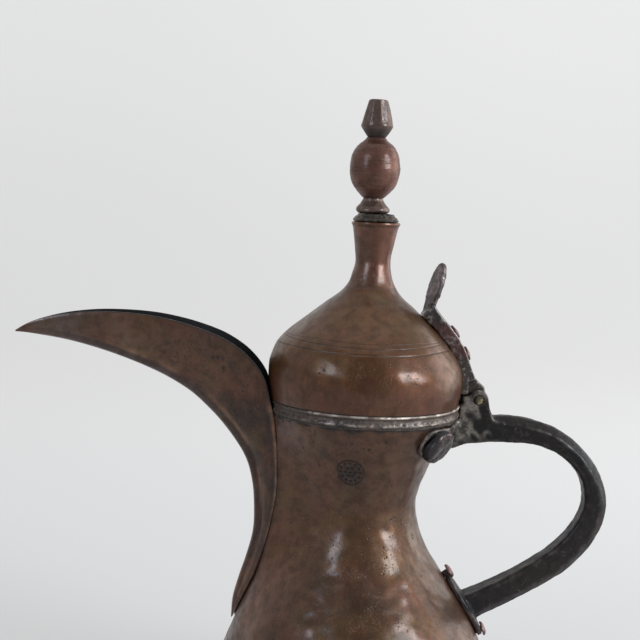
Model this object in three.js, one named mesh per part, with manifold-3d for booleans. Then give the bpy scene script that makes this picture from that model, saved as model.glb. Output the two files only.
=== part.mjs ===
// Dallah: a copper coffee pot with an open-topped crescent spout, a hinged onion lid and a cast handle.
// Millimetres, +Z up, origin at the centre of the base's underside. The spout points along -X.
import * as THREE from 'three';
import { mergeVertices } from 'three/addons/utils/BufferGeometryUtils.js';
import Module from 'manifold-3d';

const wasm = await Module();
wasm.setup();

// ---- Driving dimensions ----
const GAP = 0.3; // clearance between pieces that touch
const SHEET = 1.4; // thickness of the hammered copper sheet
const TURNS = 40; // sides of a large turned piece
const SMALL_TURNS = 20; // sides of a small turned piece

const MOUTH_Z = 179.8;
const BAND_BOTTOM_Z = 173.4;
const BAND_RADIUS = 47.4;
const BAND_GAP_HALF_WIDTH = 13.4; // the band is open where the spout stands
const NECK_TOP_Z = 269.2;

const HINGE_X = 56.8;
const HINGE_Z = 183;
const PIN_RADIUS = 2.1;
const CHEEK_HALF_WIDTH = 6.5;
const CHEEK_RADIUS = 5;
const TONGUE_HALF_WIDTH = 3;
const KNUCKLE_RADIUS = 4.7;
const STRAP_HALF_WIDTH = 5.5;

const RIVET_SHANK_RADIUS = 1.6;
const RIVET_BORE_RADIUS = 1.9;

// Outlines of the turned bodies, as [radius, height].
const SHOULDER = [
  [64.9, 56], [60.6, 66.5], [54.6, 76.5], [48, 86], [41.3, 95.3], [35.6, 103.2], [31, 113], [28.6, 122.5],
  [28, 129], [29.3, 136], [31.6, 143], [35.2, 151.5], [39.9, 161.5], [43.8, 169], [45.2, 173.6],
  [45.4, 179.5],
];
const BELLY = [[59.7, 2.2], [60.1, 7.5], [64.6, 15.5], [68.4, 26], [69.7, 36], [68.4, 46.5], [65, 55.7]];
const BASE_PLATE = [
  [0, 0], [58.4, 0], [60.6, 1.4], [61.6, 6.4], [61.3, 7], [60.5, 7], [60.1, 1.9], [58.4, 1.6], [0, 1.6],
];
const BAND = [
  [46, 173.4], [47.1, 173.4], [47.4, 174.2], [47.2, 178], [47.6, 178.9], [47.4, 179.8], [46, 179.8],
  [46, 173.4],
];
const DOME = [
  [47.1, 180.1], [48.3, 186], [48.4, 194.4], [46.6, 202], [42.4, 209.3], [37, 215], [29.6, 221.5],
  [22, 228], [16.4, 232.6], [13, 236.1],
];
const COLLAR = [
  [41.8, 174], [42.9, 174], [43.2, 183], [45.6, 183.2], [45.9, 184.4], [41.8, 184.4], [41.8, 174],
];
const NECK = [[12.8, 236.5], [10.2, 242.2], [8.9, 248.2], [9, 253], [10, 260], [11, 265], [11.5, 267]];
const NECK_LIP = [[11.9, 267.5], [12.1, 268.3], [11.7, NECK_TOP_Z]];
const NECK_CAP = [[0, 269.5], [11.1, 269.5], [11.3, 270.3], [9.4, 272.2], [9, 273.3], [0, 273.3]];
const BEAD = [
  [3.2, 273.6], [7.6, 273.6], [8.4, 275], [7.8, 276.6], [6.4, 278], [4.9, 280], [4.9, 280.7], [1.9, 280.7],
  [1.9, 274.6], [3.2, 273.6],
];
const BALL = [
  [1.9, 281], [5.2, 281], [6.7, 282.5], [8.7, 284.8], [10.5, 287], [11.7, 289.9], [12.4, 293.2],
  [12.45, 296.2], [12, 299.5], [11, 303], [9.3, 306.2], [7.2, 308.3], [5, 309.8], [4.6, 310.6],
  [1.9, 310.6], [1.9, 281],
];
const CAP = [
  [1.9, 310.9], [4.5, 310.9], [7.9, 316], [7.7, 317], [4.9, 328.3], [4.3, 329.1], [0, 329.2], [0, 326],
  [1.9, 326], [1.9, 310.9],
];
const ROD = [[0, 263.4], [2.6, 263.6], [2.6, 265.2], [1.6, 265.2], [1.6, 325.5], [0, 325.5]];
const WASHER = [[1.9, 265.6], [6.5, 265.6], [6.5, 267.2], [1.9, 267.2], [1.9, 265.6]];

// How far the hand-raised lid leans off its axis, as [height, shift along X].
const LID_SHIFT = [
  [180, -0.2], [195, -0.4], [203, -1.3], [208.5, -2], [214, -1.5], [220, -0.7], [230, -0.5], [236.4, 0.4],
  [248, 0.9], [269.2, 1.6],
];
const NECK_CAP_SHIFT = 1.4;

// The spout from its foot to its tip. Each station gives the sheet's edge and its keel, and the half width
// at the edge: [edge x, edge z, half width, keel x, keel z].
const SPOUT = [
  [-62.2, 66, 1.8, -63.6, 63.5], [-57.3, 77, 4.4, -63.1, 74.5], [-52.6, 88, 6.6, -60.4, 85.5],
  [-48.6, 100, 8, -56.8, 97.5], [-45.2, 115, 9.5, -54, 110], [-42.6, 131, 11, -53.8, 122],
  [-42.4, 145, 12, -55, 134.5], [-43.5, 160, 12.4, -58.6, 147], [-45.2, 172, 12.6, -64.4, 156.6],
  [-46.9, 178.5, 12.6, -70.6, 164.4], [-50.5, 190.7, 12.4, -78.4, 172.5], [-58.5, 200.8, 12, -87, 179.9],
  [-70, 208.7, 11.7, -97.5, 186.3], [-85, 214.3, 11, -109, 191.6], [-103, 218.3, 9.7, -122, 196.4],
  [-123.5, 219.8, 7.8, -137, 200.9], [-142, 219, 5.6, -151, 204.1], [-159.6, 215.6, 3.4, -164, 206],
  [-171.4, 211.2, 1.6, -172.5, 206.9], [-176.6, 207.9, 0.7, -176.8, 207.1],
];
const SEAM_STATIONS = 10; // how many of those stations lie along the body
const KEEL_HEIGHT = 4.2; // how high the crease stands above the rounded keel
const KEEL_HALF_WIDTH = 3;
const SPOUT_BOW = 0.9; // how far the spout's sides bulge

// The shoulder's front is drawn out to the spout's edges and fades into the round wall on each side.
const SNOUT_SPREAD = THREE.MathUtils.degToRad(66);
const SNOUT_HOLLOW = 3.2; // 1 gives straight sides, and more gives hollower ones
const SNOUT_TOP_Z = 173;
const SNOUT_FADE = 6;

// The strainer: holes through the round wall behind the spout.
const STRAINER_ROWS = 7;
const STRAINER_BOTTOM_Z = 106;
const STRAINER_PITCH = 8.5;
const STRAINER_HOLE_RADIUS = 1.4;
const STRAINER_OFFSETS = [[-5, 0, 5], [-2.6, 2.6]]; // across the wall, in turn from row to row
const CHANNEL_HEIGHTS = [78, 88, 98, 108, 118, 130, 142, 154, 163, 168];

// The handle's bar from the hinge block round to its foot: [outer x, outer z, inner x, inner z, half width].
const HANDLE = [
  [62, 174.6, 62, 162, 6.3], [74, 174.8, 75, 161.8, 6.2], [84.5, 173.4, 85.7, 161.3, 6],
  [98, 169, 95.5, 158.2, 6], [109.4, 161.2, 103, 153.6, 6], [119.6, 148.8, 110.2, 145.5, 6],
  [124.5, 135.5, 113.1, 135.2, 6], [124.3, 124.5, 112, 127, 6], [119.2, 111.4, 107.6, 118.4, 6],
  [107.5, 97.5, 98.6, 108, 6], [92, 86.5, 84.8, 97.8, 6], [77, 78, 71, 89.6, 6.4], [58, 68, 50.5, 79.5, 7.4],
];
const HANDLE_STEPS = 30;
const HANDLE_OUTER_BEVEL = 3.7;
const HANDLE_INNER_BEVEL = 1.5;

// The hinge block, as [x, z]: up the body's side, out along the bar's underside, and back over the cheeks.
const BLOCK_SIDE = [
  [38, 157], [45, 158], [51, 160.4], [62, 161.9], [70, 162.1], [70, 172], [64.8, 173.4], [62.3, 179.4],
];
const BLOCK_TOP = [[50.5, 184.6], [48.9, 184.4], [48.9, 180.6], [38, 180.6]];
const TONGUE_SLOT = [[47, 176.6], [59, 176.6], [64, 179], [64, 192], [47, 192]];

// The saddle grips the body under the band, between the two bosses.
const SADDLE_THICKNESS = 2.6;
const SADDLE_HALF_WIDTH = 24.2;
const SADDLE_BOTTOM_Z = 158.5;
const SADDLE_TOP_Z = 171.6;
const BOSS_ANGLE = THREE.MathUtils.degToRad(40);
const BOSS_Z = 165.5;
const BOSS_RADIUS = 8.8;
const BOSS_SHANK_RADIUS = 2.5;

// The palm under the handle's foot, and its rivets.
const PALM_Z = 76.5;
const PALM_THICKNESS = 3;
const PALM_HALF_WIDTH = 9.5;
const PALM_HALF_HEIGHT = 19.5;
const FOOT_RIVET_HEIGHTS = [62, 91];

// The lid's strap, as [x, z]: its face on the dome, and its back from the knuckle up to the leaf.
const STRAP_INNER = [
  [26.6, 225.6], [32.4, 219.4], [37.1, 214.4], [41.9, 208.2], [45.3, 203.4], [47.7, 198.8], [48.8, 194.2],
  [49.1, 189.6],
];
const STRAP_OUTER = [
  [59.6, 189], [55.1, 193.2], [52.7, 198.4], [51, 202.8], [47.6, 210.3], [44.8, 214.4], [40, 220.2],
  [36.3, 224.2], [32.5, 229.2],
];
const STRAP_SINK = 3; // how deep the strap is hollowed to sit on the dome
const STRAP_RIVETS = [
  { at: new THREE.Vector3(50, 0, 205.4), out: new THREE.Vector3(0.92, 0, 0.4) },
  { at: new THREE.Vector3(43.5, 0, 216), out: new THREE.Vector3(0.79, 0, 0.61) },
];
const LEAF_ROOT = new THREE.Vector3(29.6, 0, 226.2);
const LEAF_LENGTH = 26.5;
const LEAF_HALF_WIDTH = 6.2;
const LEAF_ROOT_HALF_WIDTH = 4.2;
const LEAF_WIDEST = 0.5; // how far along the leaf it is widest
const LEAF_THICKNESS = 2.4;
const LEAF_LEAN = THREE.MathUtils.degToRad(15.2);
const LEAF_TWIST = THREE.MathUtils.degToRad(22);

// ---- Solids ----
function toSolid(geometry) {
  if (geometry instanceof wasm.Manifold) return geometry;
  const bare = new THREE.BufferGeometry();
  bare.setAttribute('position', geometry.getAttribute('position'));
  if (geometry.index) bare.setIndex(geometry.index);
  const merged = mergeVertices(bare, 1e-4);
  const triangles = [];
  for (let i = 0; i < merged.index.count; i += 3) {
    const [a, b, c] = [0, 1, 2].map((k) => merged.index.getX(i + k));
    if (a !== b && b !== c && c !== a) triangles.push(a, b, c);
  }
  return new wasm.Manifold(new wasm.Mesh({
    numProp: 3,
    vertProperties: new Float32Array(merged.getAttribute('position').array),
    triVerts: new Uint32Array(triangles),
  }));
}

function toGeometry(solid) {
  const mesh = solid.getMesh();
  const geometry = new THREE.BufferGeometry();
  geometry.setAttribute('position', new THREE.BufferAttribute(new Float32Array(mesh.vertProperties), 3));
  geometry.setIndex(new THREE.BufferAttribute(new Uint32Array(mesh.triVerts), 1));
  geometry.computeVertexNormals();
  return geometry;
}

function join(...pieces) {
  return pieces.map(toSolid).reduce((all, solid) => all.add(solid));
}

function cut(piece, ...tools) {
  return tools.map(toSolid).reduce((left, tool) => left.subtract(tool), toSolid(piece));
}

function common(a, b) {
  return toSolid(a).intersect(toSolid(b));
}

// ---- Shapes ----
// Turned about Z. The outline runs anticlockwise as [radius, height], closed or from axis to axis.
function turned(outline, sides = TURNS) {
  const points = outline.map(([r, z]) => new THREE.Vector2(r, z));
  return new THREE.LatheGeometry(points, sides).rotateX(Math.PI / 2);
}

function disc(radius, low, high, sides = SMALL_TURNS) {
  return turned([[0, low], [radius, low], [radius, high], [0, high]], sides);
}

// A smooth curve through a few points, sampled at even steps.
function smooth(points, steps) {
  const through = points.map(([a, b]) => new THREE.Vector3(a, b, 0));
  const curve = new THREE.CatmullRomCurve3(through, false, 'centripetal');
  return curve.getSpacedPoints(steps).map((p) => [p.x, p.y]);
}

// The same outline moved sideways by a distance, to the left of its direction of travel.
function offset(outline, distance) {
  return outline.map(([r, z], i) => {
    const before = outline[Math.max(i - 1, 0)];
    const after = outline[Math.min(i + 1, outline.length - 1)];
    const along = new THREE.Vector2(after[0] - before[0], after[1] - before[1]).normalize();
    return [r - along.y * distance, z + along.x * distance];
  });
}

function closed(outer, inner) {
  return [...outer, ...[...inner].reverse(), outer[0]];
}

// A value read from a table of [key, value] rows in rising order.
function lookup(table, key) {
  const next = table.findIndex((row) => row[0] >= key);
  if (next === 0) return table[0][1];
  if (next < 0) return table.at(-1)[1];
  const [[k0, v0], [k1, v1]] = [table[next - 1], table[next]];
  return v0 + ((v1 - v0) * (key - k0)) / (k1 - k0);
}

// The triangles that fill a flat outline, turned the way that the outline runs.
function endFaces(outline) {
  const faces = THREE.ShapeUtils.triangulateShape(outline, []);
  const runsForward = faces.some((face) => face.some((corner, i) => corner === 0 && face[(i + 1) % 3] === 1));
  return runsForward ? faces : faces.map(([a, b, c]) => [c, b, a]);
}

// A solid through a row of rings with equal numbers of points. Each ring runs anticlockwise as seen from the
// last ring, and flat(point) gives a point's place in the plane of an end.
function loft(rings, flat) {
  const count = rings[0].length;
  const index = [];
  for (let i = 0; i < rings.length - 1; i += 1) {
    for (let j = 0; j < count; j += 1) {
      const k = (j + 1) % count;
      const [a, b, c, d] = [i * count + j, i * count + k, (i + 1) * count + k, (i + 1) * count + j];
      index.push(a, b, c, a, c, d);
    }
  }
  const last = (rings.length - 1) * count;
  endFaces(rings[0].map(flat)).forEach(([a, b, c]) => index.push(c, b, a));
  endFaces(rings.at(-1).map(flat)).forEach(([a, b, c]) => index.push(last + a, last + b, last + c));
  const geometry = new THREE.BufferGeometry();
  const coordinates = rings.flat().flatMap((p) => p.toArray());
  geometry.setAttribute('position', new THREE.Float32BufferAttribute(coordinates, 3));
  geometry.setIndex(index);
  return geometry;
}

// A flat outline of [x, z] points, given thickness along Y on both sides of the middle plane.
function plate(outline, halfWidth) {
  const shape = new THREE.Shape(outline.map(([x, z]) => new THREE.Vector2(x, z)));
  const body = new THREE.ExtrudeGeometry(shape, { depth: 2 * halfWidth, bevelEnabled: false });
  return body.rotateX(Math.PI / 2).translate(0, halfWidth, 0);
}

// A rectangle of [x, z] corners.
function rectangle(xLow, xHigh, zLow, zHigh) {
  return [[xLow, zLow], [xHigh, zLow], [xHigh, zHigh], [xLow, zHigh]];
}

// Points on an arc round the hinge, as [x, z], between two angles from +X.
function hingeArc(radius, from, to, steps) {
  const points = [];
  for (let i = 0; i <= steps; i += 1) {
    const angle = from + ((to - from) * i) / steps;
    points.push([HINGE_X + radius * Math.cos(angle), HINGE_Z + radius * Math.sin(angle)]);
  }
  return points;
}

function hingeBore() {
  const radius = PIN_RADIUS + GAP;
  const length = 2 * CHEEK_HALF_WIDTH + 7;
  return new THREE.CylinderGeometry(radius, radius, length, SMALL_TURNS).translate(HINGE_X, 0, HINGE_Z);
}

// Turns a piece made along +Z so that it points along a direction from a point.
function aim(geometry, { at, out }) {
  const up = new THREE.Vector3(0, 0, 1);
  const turn = new THREE.Quaternion().setFromUnitVectors(up, out.clone().normalize());
  return geometry.applyQuaternion(turn).translate(at.x, at.y, at.z);
}

function leanLid(geometry) {
  const position = geometry.getAttribute('position');
  for (let i = 0; i < position.count; i += 1) {
    position.setX(i, position.getX(i) + lookup(LID_SHIFT, position.getZ(i)));
  }
  return geometry;
}

// ---- Shoulder ----
const shoulderLine = smooth(SHOULDER, 20);
const shoulderTable = shoulderLine.map(([r, z]) => [z, r]);
const seamStations = SPOUT.slice(0, SEAM_STATIONS);
const seamFrontTable = seamStations.map(([edgeX, edgeZ]) => [edgeZ, -edgeX - GAP]);
const seamWidthTable = seamStations.map(([, edgeZ, halfWidth]) => [edgeZ, halfWidth]);

function shoulderRadius(z) {
  return lookup(shoulderTable, z);
}

// A place on the shoulder and the direction out of it, at an angle from +X.
function shoulderPlace(z, angle) {
  const slope = (shoulderRadius(z + 1) - shoulderRadius(z - 1)) / 2;
  const [x, y] = [Math.cos(angle), Math.sin(angle)];
  const radius = shoulderRadius(z);
  return {
    at: new THREE.Vector3(radius * x, radius * y, z),
    out: new THREE.Vector3(x, y, -slope).normalize(),
  };
}

// The drawn-out shoulder's radius, at an angle from -X.
function snoutRadius(z, angle) {
  const round = shoulderRadius(z);
  const front = lookup(seamFrontTable, z);
  const halfWidth = lookup(seamWidthTable, z);
  const corner = Math.atan2(halfWidth, front);
  const drawn = Math.max(Math.hypot(front, halfWidth) - round, 0);
  const fade = z < SPOUT[0][1] ? 0 : THREE.MathUtils.clamp((SNOUT_TOP_Z - z) / SNOUT_FADE, 0, 1);
  const away = Math.abs(angle);
  if (away < corner) return round + fade * (Math.max(front / Math.cos(angle), round) - round);
  const spread = THREE.MathUtils.clamp((away - corner) / (SNOUT_SPREAD - corner), 0, 1);
  return round + fade * drawn * (1 - spread) ** SNOUT_HOLLOW;
}

// Angles from -X: close together across the snout, wider round the back.
function snoutAngles(z) {
  const corner = Math.atan2(lookup(seamWidthTable, z), lookup(seamFrontTable, z));
  const half = [0, 0.5 * corner, 0.97 * corner];
  for (let i = 0; i <= 8; i += 1) half.push(corner + (SNOUT_SPREAD - corner) * (i / 8) ** 1.4);
  for (let i = 1; i <= 10; i += 1) half.push(SNOUT_SPREAD + ((Math.PI - SNOUT_SPREAD) * i) / 11);
  return [...half, Math.PI, ...half.slice(1).reverse().map((angle) => -angle)];
}

function snoutRing(z) {
  return snoutAngles(z).map((angle) => {
    const radius = snoutRadius(z, angle);
    return new THREE.Vector3(-radius * Math.cos(angle), -radius * Math.sin(angle), z);
  });
}

// The pocket between the strainer's wall and the spout, at one height.
function channelRing(z) {
  const half = lookup(seamWidthTable, z) - SHEET;
  const wall = shoulderRadius(z);
  const front = -lookup(seamFrontTable, z) - 3;
  const ring = [new THREE.Vector3(front, half, z), new THREE.Vector3(front, -half, z)];
  for (let i = 0; i <= 4; i += 1) {
    const y = half * (i / 2 - 1);
    ring.push(new THREE.Vector3(-Math.sqrt(wall * wall - y * y), y, z));
  }
  return ring;
}

function strainerHoles() {
  const holes = [];
  for (let row = 0; row < STRAINER_ROWS; row += 1) {
    const z = STRAINER_BOTTOM_Z + row * STRAINER_PITCH;
    for (const y of STRAINER_OFFSETS[row % 2]) {
      const at = new THREE.Vector3(-shoulderRadius(z) + 1, y, z);
      holes.push(aim(disc(STRAINER_HOLE_RADIUS, -4.5, 4.5, 8), { at, out: new THREE.Vector3(1, 0, 0) }));
    }
  }
  return holes;
}

function makeUpperBody() {
  const flat = (p) => new THREE.Vector2(p.x, p.y);
  const outside = loft(shoulderLine.map(([, z]) => snoutRing(z)), flat);
  const wall = offset(shoulderLine, SHEET);
  const [bottomZ, topZ] = [wall[0][1] - 6, wall.at(-1)[1] + 6];
  const cavity = turned([[0, bottomZ], [wall[0][0] + 3, bottomZ], ...wall, [wall.at(-1)[0], topZ], [0, topZ]]);
  const channel = loft(CHANNEL_HEIGHTS.map(channelRing), flat);
  return cut(outside, cavity, channel, ...strainerHoles(), ...bossBores(-6, 4), ...footBores(-6, 9));
}

function makeLowerBody() {
  const outer = smooth(BELLY, 8);
  return turned(closed(outer, offset(outer, SHEET)));
}

function makeMouthBand() {
  const spoutGap = plate(rectangle(-60, -30, BAND_BOTTOM_Z - 3, MOUTH_Z + 5), BAND_GAP_HALF_WIDTH);
  return cut(turned(BAND), spoutGap);
}

// ---- Spout ----
// One station's cross-section: a folded sheet with a rounded keel, a crease above it and gently bowed sides.
function spoutSection([edgeX, edgeZ, halfWidth, keelX, keelZ]) {
  const { lerp, clamp } = THREE.MathUtils;
  const up = new THREE.Vector2(edgeX - keelX, edgeZ - keelZ);
  const height = up.length();
  up.normalize();
  const crease = Math.min(KEEL_HEIGHT, height * 0.4);
  const keel = Math.min(KEEL_HALF_WIDTH, halfWidth * 0.75);
  const sheet = Math.min(SHEET, halfWidth * 0.35);
  const bow = SPOUT_BOW * Math.min(1, halfWidth / 8);
  const side = [
    [halfWidth, height],
    [lerp(keel, halfWidth, 0.7) + bow, lerp(crease, height, 0.62)],
    [lerp(keel, halfWidth, 0.36) + bow, lerp(crease, height, 0.26)],
    [keel, crease],
    [keel * 0.62, crease * 0.3],
  ];
  const outer = [...side, [0, 0], ...[...side].reverse().map(([y, v]) => [-y, v])];
  const inner = outer.map(([y, v]) => {
    const rise = v < height ? sheet * clamp(1.25 - (2 * v) / height, 0, 1.25) : 0;
    const half = y === 0 ? 0 : Math.max(Math.abs(y) - sheet, 0.12);
    return [Math.sign(y) * half, v + rise];
  });
  const section = [...outer, ...inner.reverse()];
  return section.map(([y, v]) => new THREE.Vector3(keelX + up.x * v, y, keelZ + up.y * v));
}

function makeSpout() {
  // Lays an end section out flat: across the spout, and along the line from its keel to its edge.
  const flat = (point) => {
    const [edgeX, edgeZ, , keelX, keelZ] = point.z < NECK_TOP_Z / 2 ? SPOUT[0] : SPOUT.at(-1);
    const rise = (point.x - keelX) * (edgeX - keelX) + (point.z - keelZ) * (edgeZ - keelZ);
    return new THREE.Vector2(-point.y, rise);
  };
  return loft(SPOUT.map(spoutSection), flat);
}

// ---- Handle ----
// A layer over the shoulder, from one height to another and from one distance off the wall to another.
function shoulderSkin(zLow, zHigh, near, far) {
  const line = [];
  for (let i = 0; i <= 6; i += 1) {
    const z = zLow + ((zHigh - zLow) * i) / 6;
    line.push([shoulderRadius(z), z]);
  }
  return turned(closed(offset(line, -far), offset(line, -near)));
}

function handleSection(outer, inner) {
  const across = new THREE.Vector2(outer.x - inner.x, outer.y - inner.y);
  const thick = across.length();
  across.normalize();
  const half = outer.z;
  const side = [
    [0, half - HANDLE_INNER_BEVEL], [HANDLE_INNER_BEVEL, half], [thick - HANDLE_OUTER_BEVEL, half],
    [thick, half - HANDLE_OUTER_BEVEL],
  ];
  const outline = [...side, ...[...side].reverse().map(([u, y]) => [u, -y])];
  return outline.map(([u, y]) => new THREE.Vector3(inner.x + across.x * u, y, inner.y + across.y * u));
}

function makeHandleBar() {
  const curve = (pick) => new THREE.CatmullRomCurve3(HANDLE.map(pick), false, 'centripetal');
  const outer = curve(([x, z, , , half]) => new THREE.Vector3(x, z, half));
  const inner = curve(([, , x, z, half]) => new THREE.Vector3(x, z, half));
  const rings = [];
  for (let i = 0; i <= HANDLE_STEPS; i += 1) {
    const t = i / HANDLE_STEPS;
    rings.push(handleSection(outer.getPoint(t), inner.getPoint(t)));
  }
  return loft(rings, (p) => new THREE.Vector2(-p.y, p.z));
}

function bossPlace(side) {
  return shoulderPlace(BOSS_Z, side * BOSS_ANGLE);
}

function bossBores(low, high) {
  return [-1, 1].map((side) => aim(disc(BOSS_SHANK_RADIUS + GAP, low, high, 12), bossPlace(side)));
}

function footBores(low, high) {
  return FOOT_RIVET_HEIGHTS.map((z) => aim(disc(RIVET_BORE_RADIUS, low, high, 12), shoulderPlace(z, 0)));
}

function makeSaddle() {
  const skin = shoulderSkin(SADDLE_BOTTOM_Z - 2.5, SADDLE_TOP_Z + 1, GAP, SADDLE_THICKNESS);
  const grip = plate(rectangle(30, 60, SADDLE_BOTTOM_Z, SADDLE_TOP_Z), SADDLE_HALF_WIDTH);
  const ends = [-1, 1].map((side) => common(skin, aim(disc(BOSS_RADIUS + 0.4, -14, 14), bossPlace(side))));
  return join(common(skin, grip), ...ends);
}

function makePalm() {
  const skin = shoulderSkin(PALM_Z - PALM_HALF_HEIGHT, PALM_Z + PALM_HALF_HEIGHT + 1, GAP, PALM_THICKNESS);
  const oval = disc(1, -12, 12).scale(PALM_HALF_HEIGHT, PALM_HALF_WIDTH, 1);
  return common(skin, aim(oval, shoulderPlace(PALM_Z, 0)));
}

// Everything that the handle has to stay clear of: the body, the band and the opening lid.
function potSpace() {
  const wall = offset(shoulderLine, -GAP).filter(([, z]) => z < BAND_BOTTOM_Z - GAP);
  const bandRadius = BAND_RADIUS + GAP + 0.2;
  const lidRadius = BAND_RADIUS + GAP + 0.9;
  const bottomZ = SHOULDER[0][1] - 6;
  return turned([
    [0, bottomZ], [wall[0][0], bottomZ], ...wall,
    [bandRadius, BAND_BOTTOM_Z - GAP], [bandRadius, MOUTH_Z + 0.6],
    [lidRadius, MOUTH_Z + 1], [lidRadius, MOUTH_Z + 10], [0, MOUTH_Z + 10],
  ]);
}

function makeHandle() {
  const crown = hingeArc(CHEEK_RADIUS, 0.08, 0.08 + 0.8 * Math.PI, 6);
  const hingeBlock = plate([...BLOCK_SIDE, ...crown, ...BLOCK_TOP], CHEEK_HALF_WIDTH);
  const solid = join(hingeBlock, makeHandleBar(), makeSaddle(), makePalm());
  const slot = plate(TONGUE_SLOT, TONGUE_HALF_WIDTH + GAP);
  return cut(solid, potSpace(), slot, hingeBore(), ...bossBores(-4, 9), ...footBores(-6, 9));
}

// A rivet made along +Z: a low domed head on its seat, and a smaller head inside the vessel.
function rivet(headRadius, headHeight, seat, innerSeat) {
  return turned([
    [0, innerSeat - 1.2], [RIVET_SHANK_RADIUS + 1.1, innerSeat - 1.2], [RIVET_SHANK_RADIUS + 1.3, innerSeat],
    [RIVET_SHANK_RADIUS, innerSeat], [RIVET_SHANK_RADIUS, seat], [headRadius, seat],
    [headRadius * 0.9, seat + headHeight * 0.5], [headRadius * 0.55, seat + headHeight * 0.9],
    [0, seat + headHeight],
  ], 16);
}

function makeBoss(side) {
  const seat = SADDLE_THICKNESS + GAP;
  const innerSeat = -SHEET - GAP - 0.2;
  const body = turned([
    [0, innerSeat - 1.5], [3.6, innerSeat - 1.5], [3.6, innerSeat], [BOSS_SHANK_RADIUS, innerSeat],
    [BOSS_SHANK_RADIUS, seat], [BOSS_RADIUS, seat], [BOSS_RADIUS, seat + 2.2], [BOSS_RADIUS - 1.8, seat + 3.4],
    [0, seat + 3.7],
  ], SMALL_TURNS);
  return aim(body, bossPlace(side));
}

function makeHingePin() {
  const half = CHEEK_HALF_WIDTH + 0.9;
  const pin = turned([
    [0, -half - 0.5], [PIN_RADIUS * 0.7, -half], [PIN_RADIUS, -half + 0.6], [PIN_RADIUS, half - 0.6],
    [PIN_RADIUS * 0.7, half], [0, half + 0.5],
  ], SMALL_TURNS);
  return pin.rotateX(Math.PI / 2).translate(HINGE_X, 0, HINGE_Z);
}

// ---- Lid ----
function strapBores() {
  return STRAP_RIVETS.map((place) => aim(disc(RIVET_BORE_RADIUS, -14, 6, 12), place));
}

function makeLidDome() {
  const outer = smooth(DOME, 12);
  return cut(leanLid(turned(closed(outer, offset(outer, SHEET)))), ...strapBores());
}

function makeLidNeck() {
  const outer = smooth(NECK, 7);
  const inner = [...offset(outer, SHEET), [10.3, NECK_TOP_Z]];
  return leanLid(turned(closed([...outer, ...NECK_LIP], inner), SMALL_TURNS + 4));
}

function makeNeckCap() {
  const cap = turned(NECK_CAP, SMALL_TURNS).translate(NECK_CAP_SHIFT, 0, 0);
  return cut(cap, disc(RIVET_BORE_RADIUS, NECK_TOP_Z - 2, NECK_TOP_Z + 6, 16));
}

// The thumb leaf: a long rounded leaf, made flat, then turned up from the top of the strap.
function makeLeaf() {
  const rim = [];
  for (let i = 0; i <= 20; i += 1) {
    const t = i / 20;
    const rounded = Math.sqrt(1 - (Math.max(t - LEAF_WIDEST, 0) / (1 - LEAF_WIDEST)) ** 2);
    const opened = THREE.MathUtils.smoothstep(t, 0, LEAF_WIDEST);
    const half = THREE.MathUtils.lerp(LEAF_ROOT_HALF_WIDTH, LEAF_HALF_WIDTH, opened) * rounded;
    rim.push(new THREE.Vector2(half, LEAF_LENGTH * t - 1.5));
  }
  const mirrored = rim.slice(0, -1).reverse().map((p) => new THREE.Vector2(-p.x, p.y));
  const shape = new THREE.Shape([...rim, ...mirrored]);
  const leaf = new THREE.ExtrudeGeometry(shape, { depth: LEAF_THICKNESS, bevelEnabled: false });
  leaf.translate(0, 0, -LEAF_THICKNESS / 2).rotateX(Math.PI / 2).rotateZ(-Math.PI / 2 + LEAF_TWIST);
  return leaf.rotateY(LEAF_LEAN).translate(LEAF_ROOT.x, LEAF_ROOT.y, LEAF_ROOT.z);
}

// The dome with everything inside it, and a gap's width round it.
function domeSpace() {
  const outer = offset(smooth(DOME, 12), -GAP);
  return leanLid(turned([[0, outer[0][1]], ...outer, [0, outer.at(-1)[1]]]));
}

function makeStrap() {
  const sunk = offset(STRAP_INNER, -STRAP_SINK);
  const band = cut(plate([...STRAP_OUTER.slice(1), ...sunk], STRAP_HALF_WIDTH), domeSpace());
  const knuckle = hingeArc(KNUCKLE_RADIUS, 0.93 * Math.PI, 2.1 * Math.PI, 12);
  const tongue = plate(
    [[48.9, 186], ...knuckle, [60.2, 187], STRAP_OUTER[0], STRAP_OUTER[1], STRAP_INNER[6]],
    TONGUE_HALF_WIDTH,
  );
  return cut(join(band, tongue, makeLeaf()), hingeBore(), ...strapBores());
}

// ---- Materials ----
const COPPER = { color: 0x5a483e, roughness: 0.42, metalness: 0.85 };
const RED_COPPER = { color: 0x6b4436, roughness: 0.45, metalness: 0.85 };
const DARK_CAST = { color: 0x3b3431, roughness: 0.6, metalness: 0.7 };
const TINNED = { color: 0x7c766e, roughness: 0.5, metalness: 0.85 };
const BRASS = { color: 0xb29a5a, roughness: 0.35, metalness: 0.95 };

const pot = new THREE.Group();

function add(name, piece, look) {
  const geometry = piece instanceof wasm.Manifold ? toGeometry(piece) : piece;
  const mesh = new THREE.Mesh(geometry, new THREE.MeshStandardMaterial(look));
  mesh.name = name;
  pot.add(mesh);
}

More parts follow.
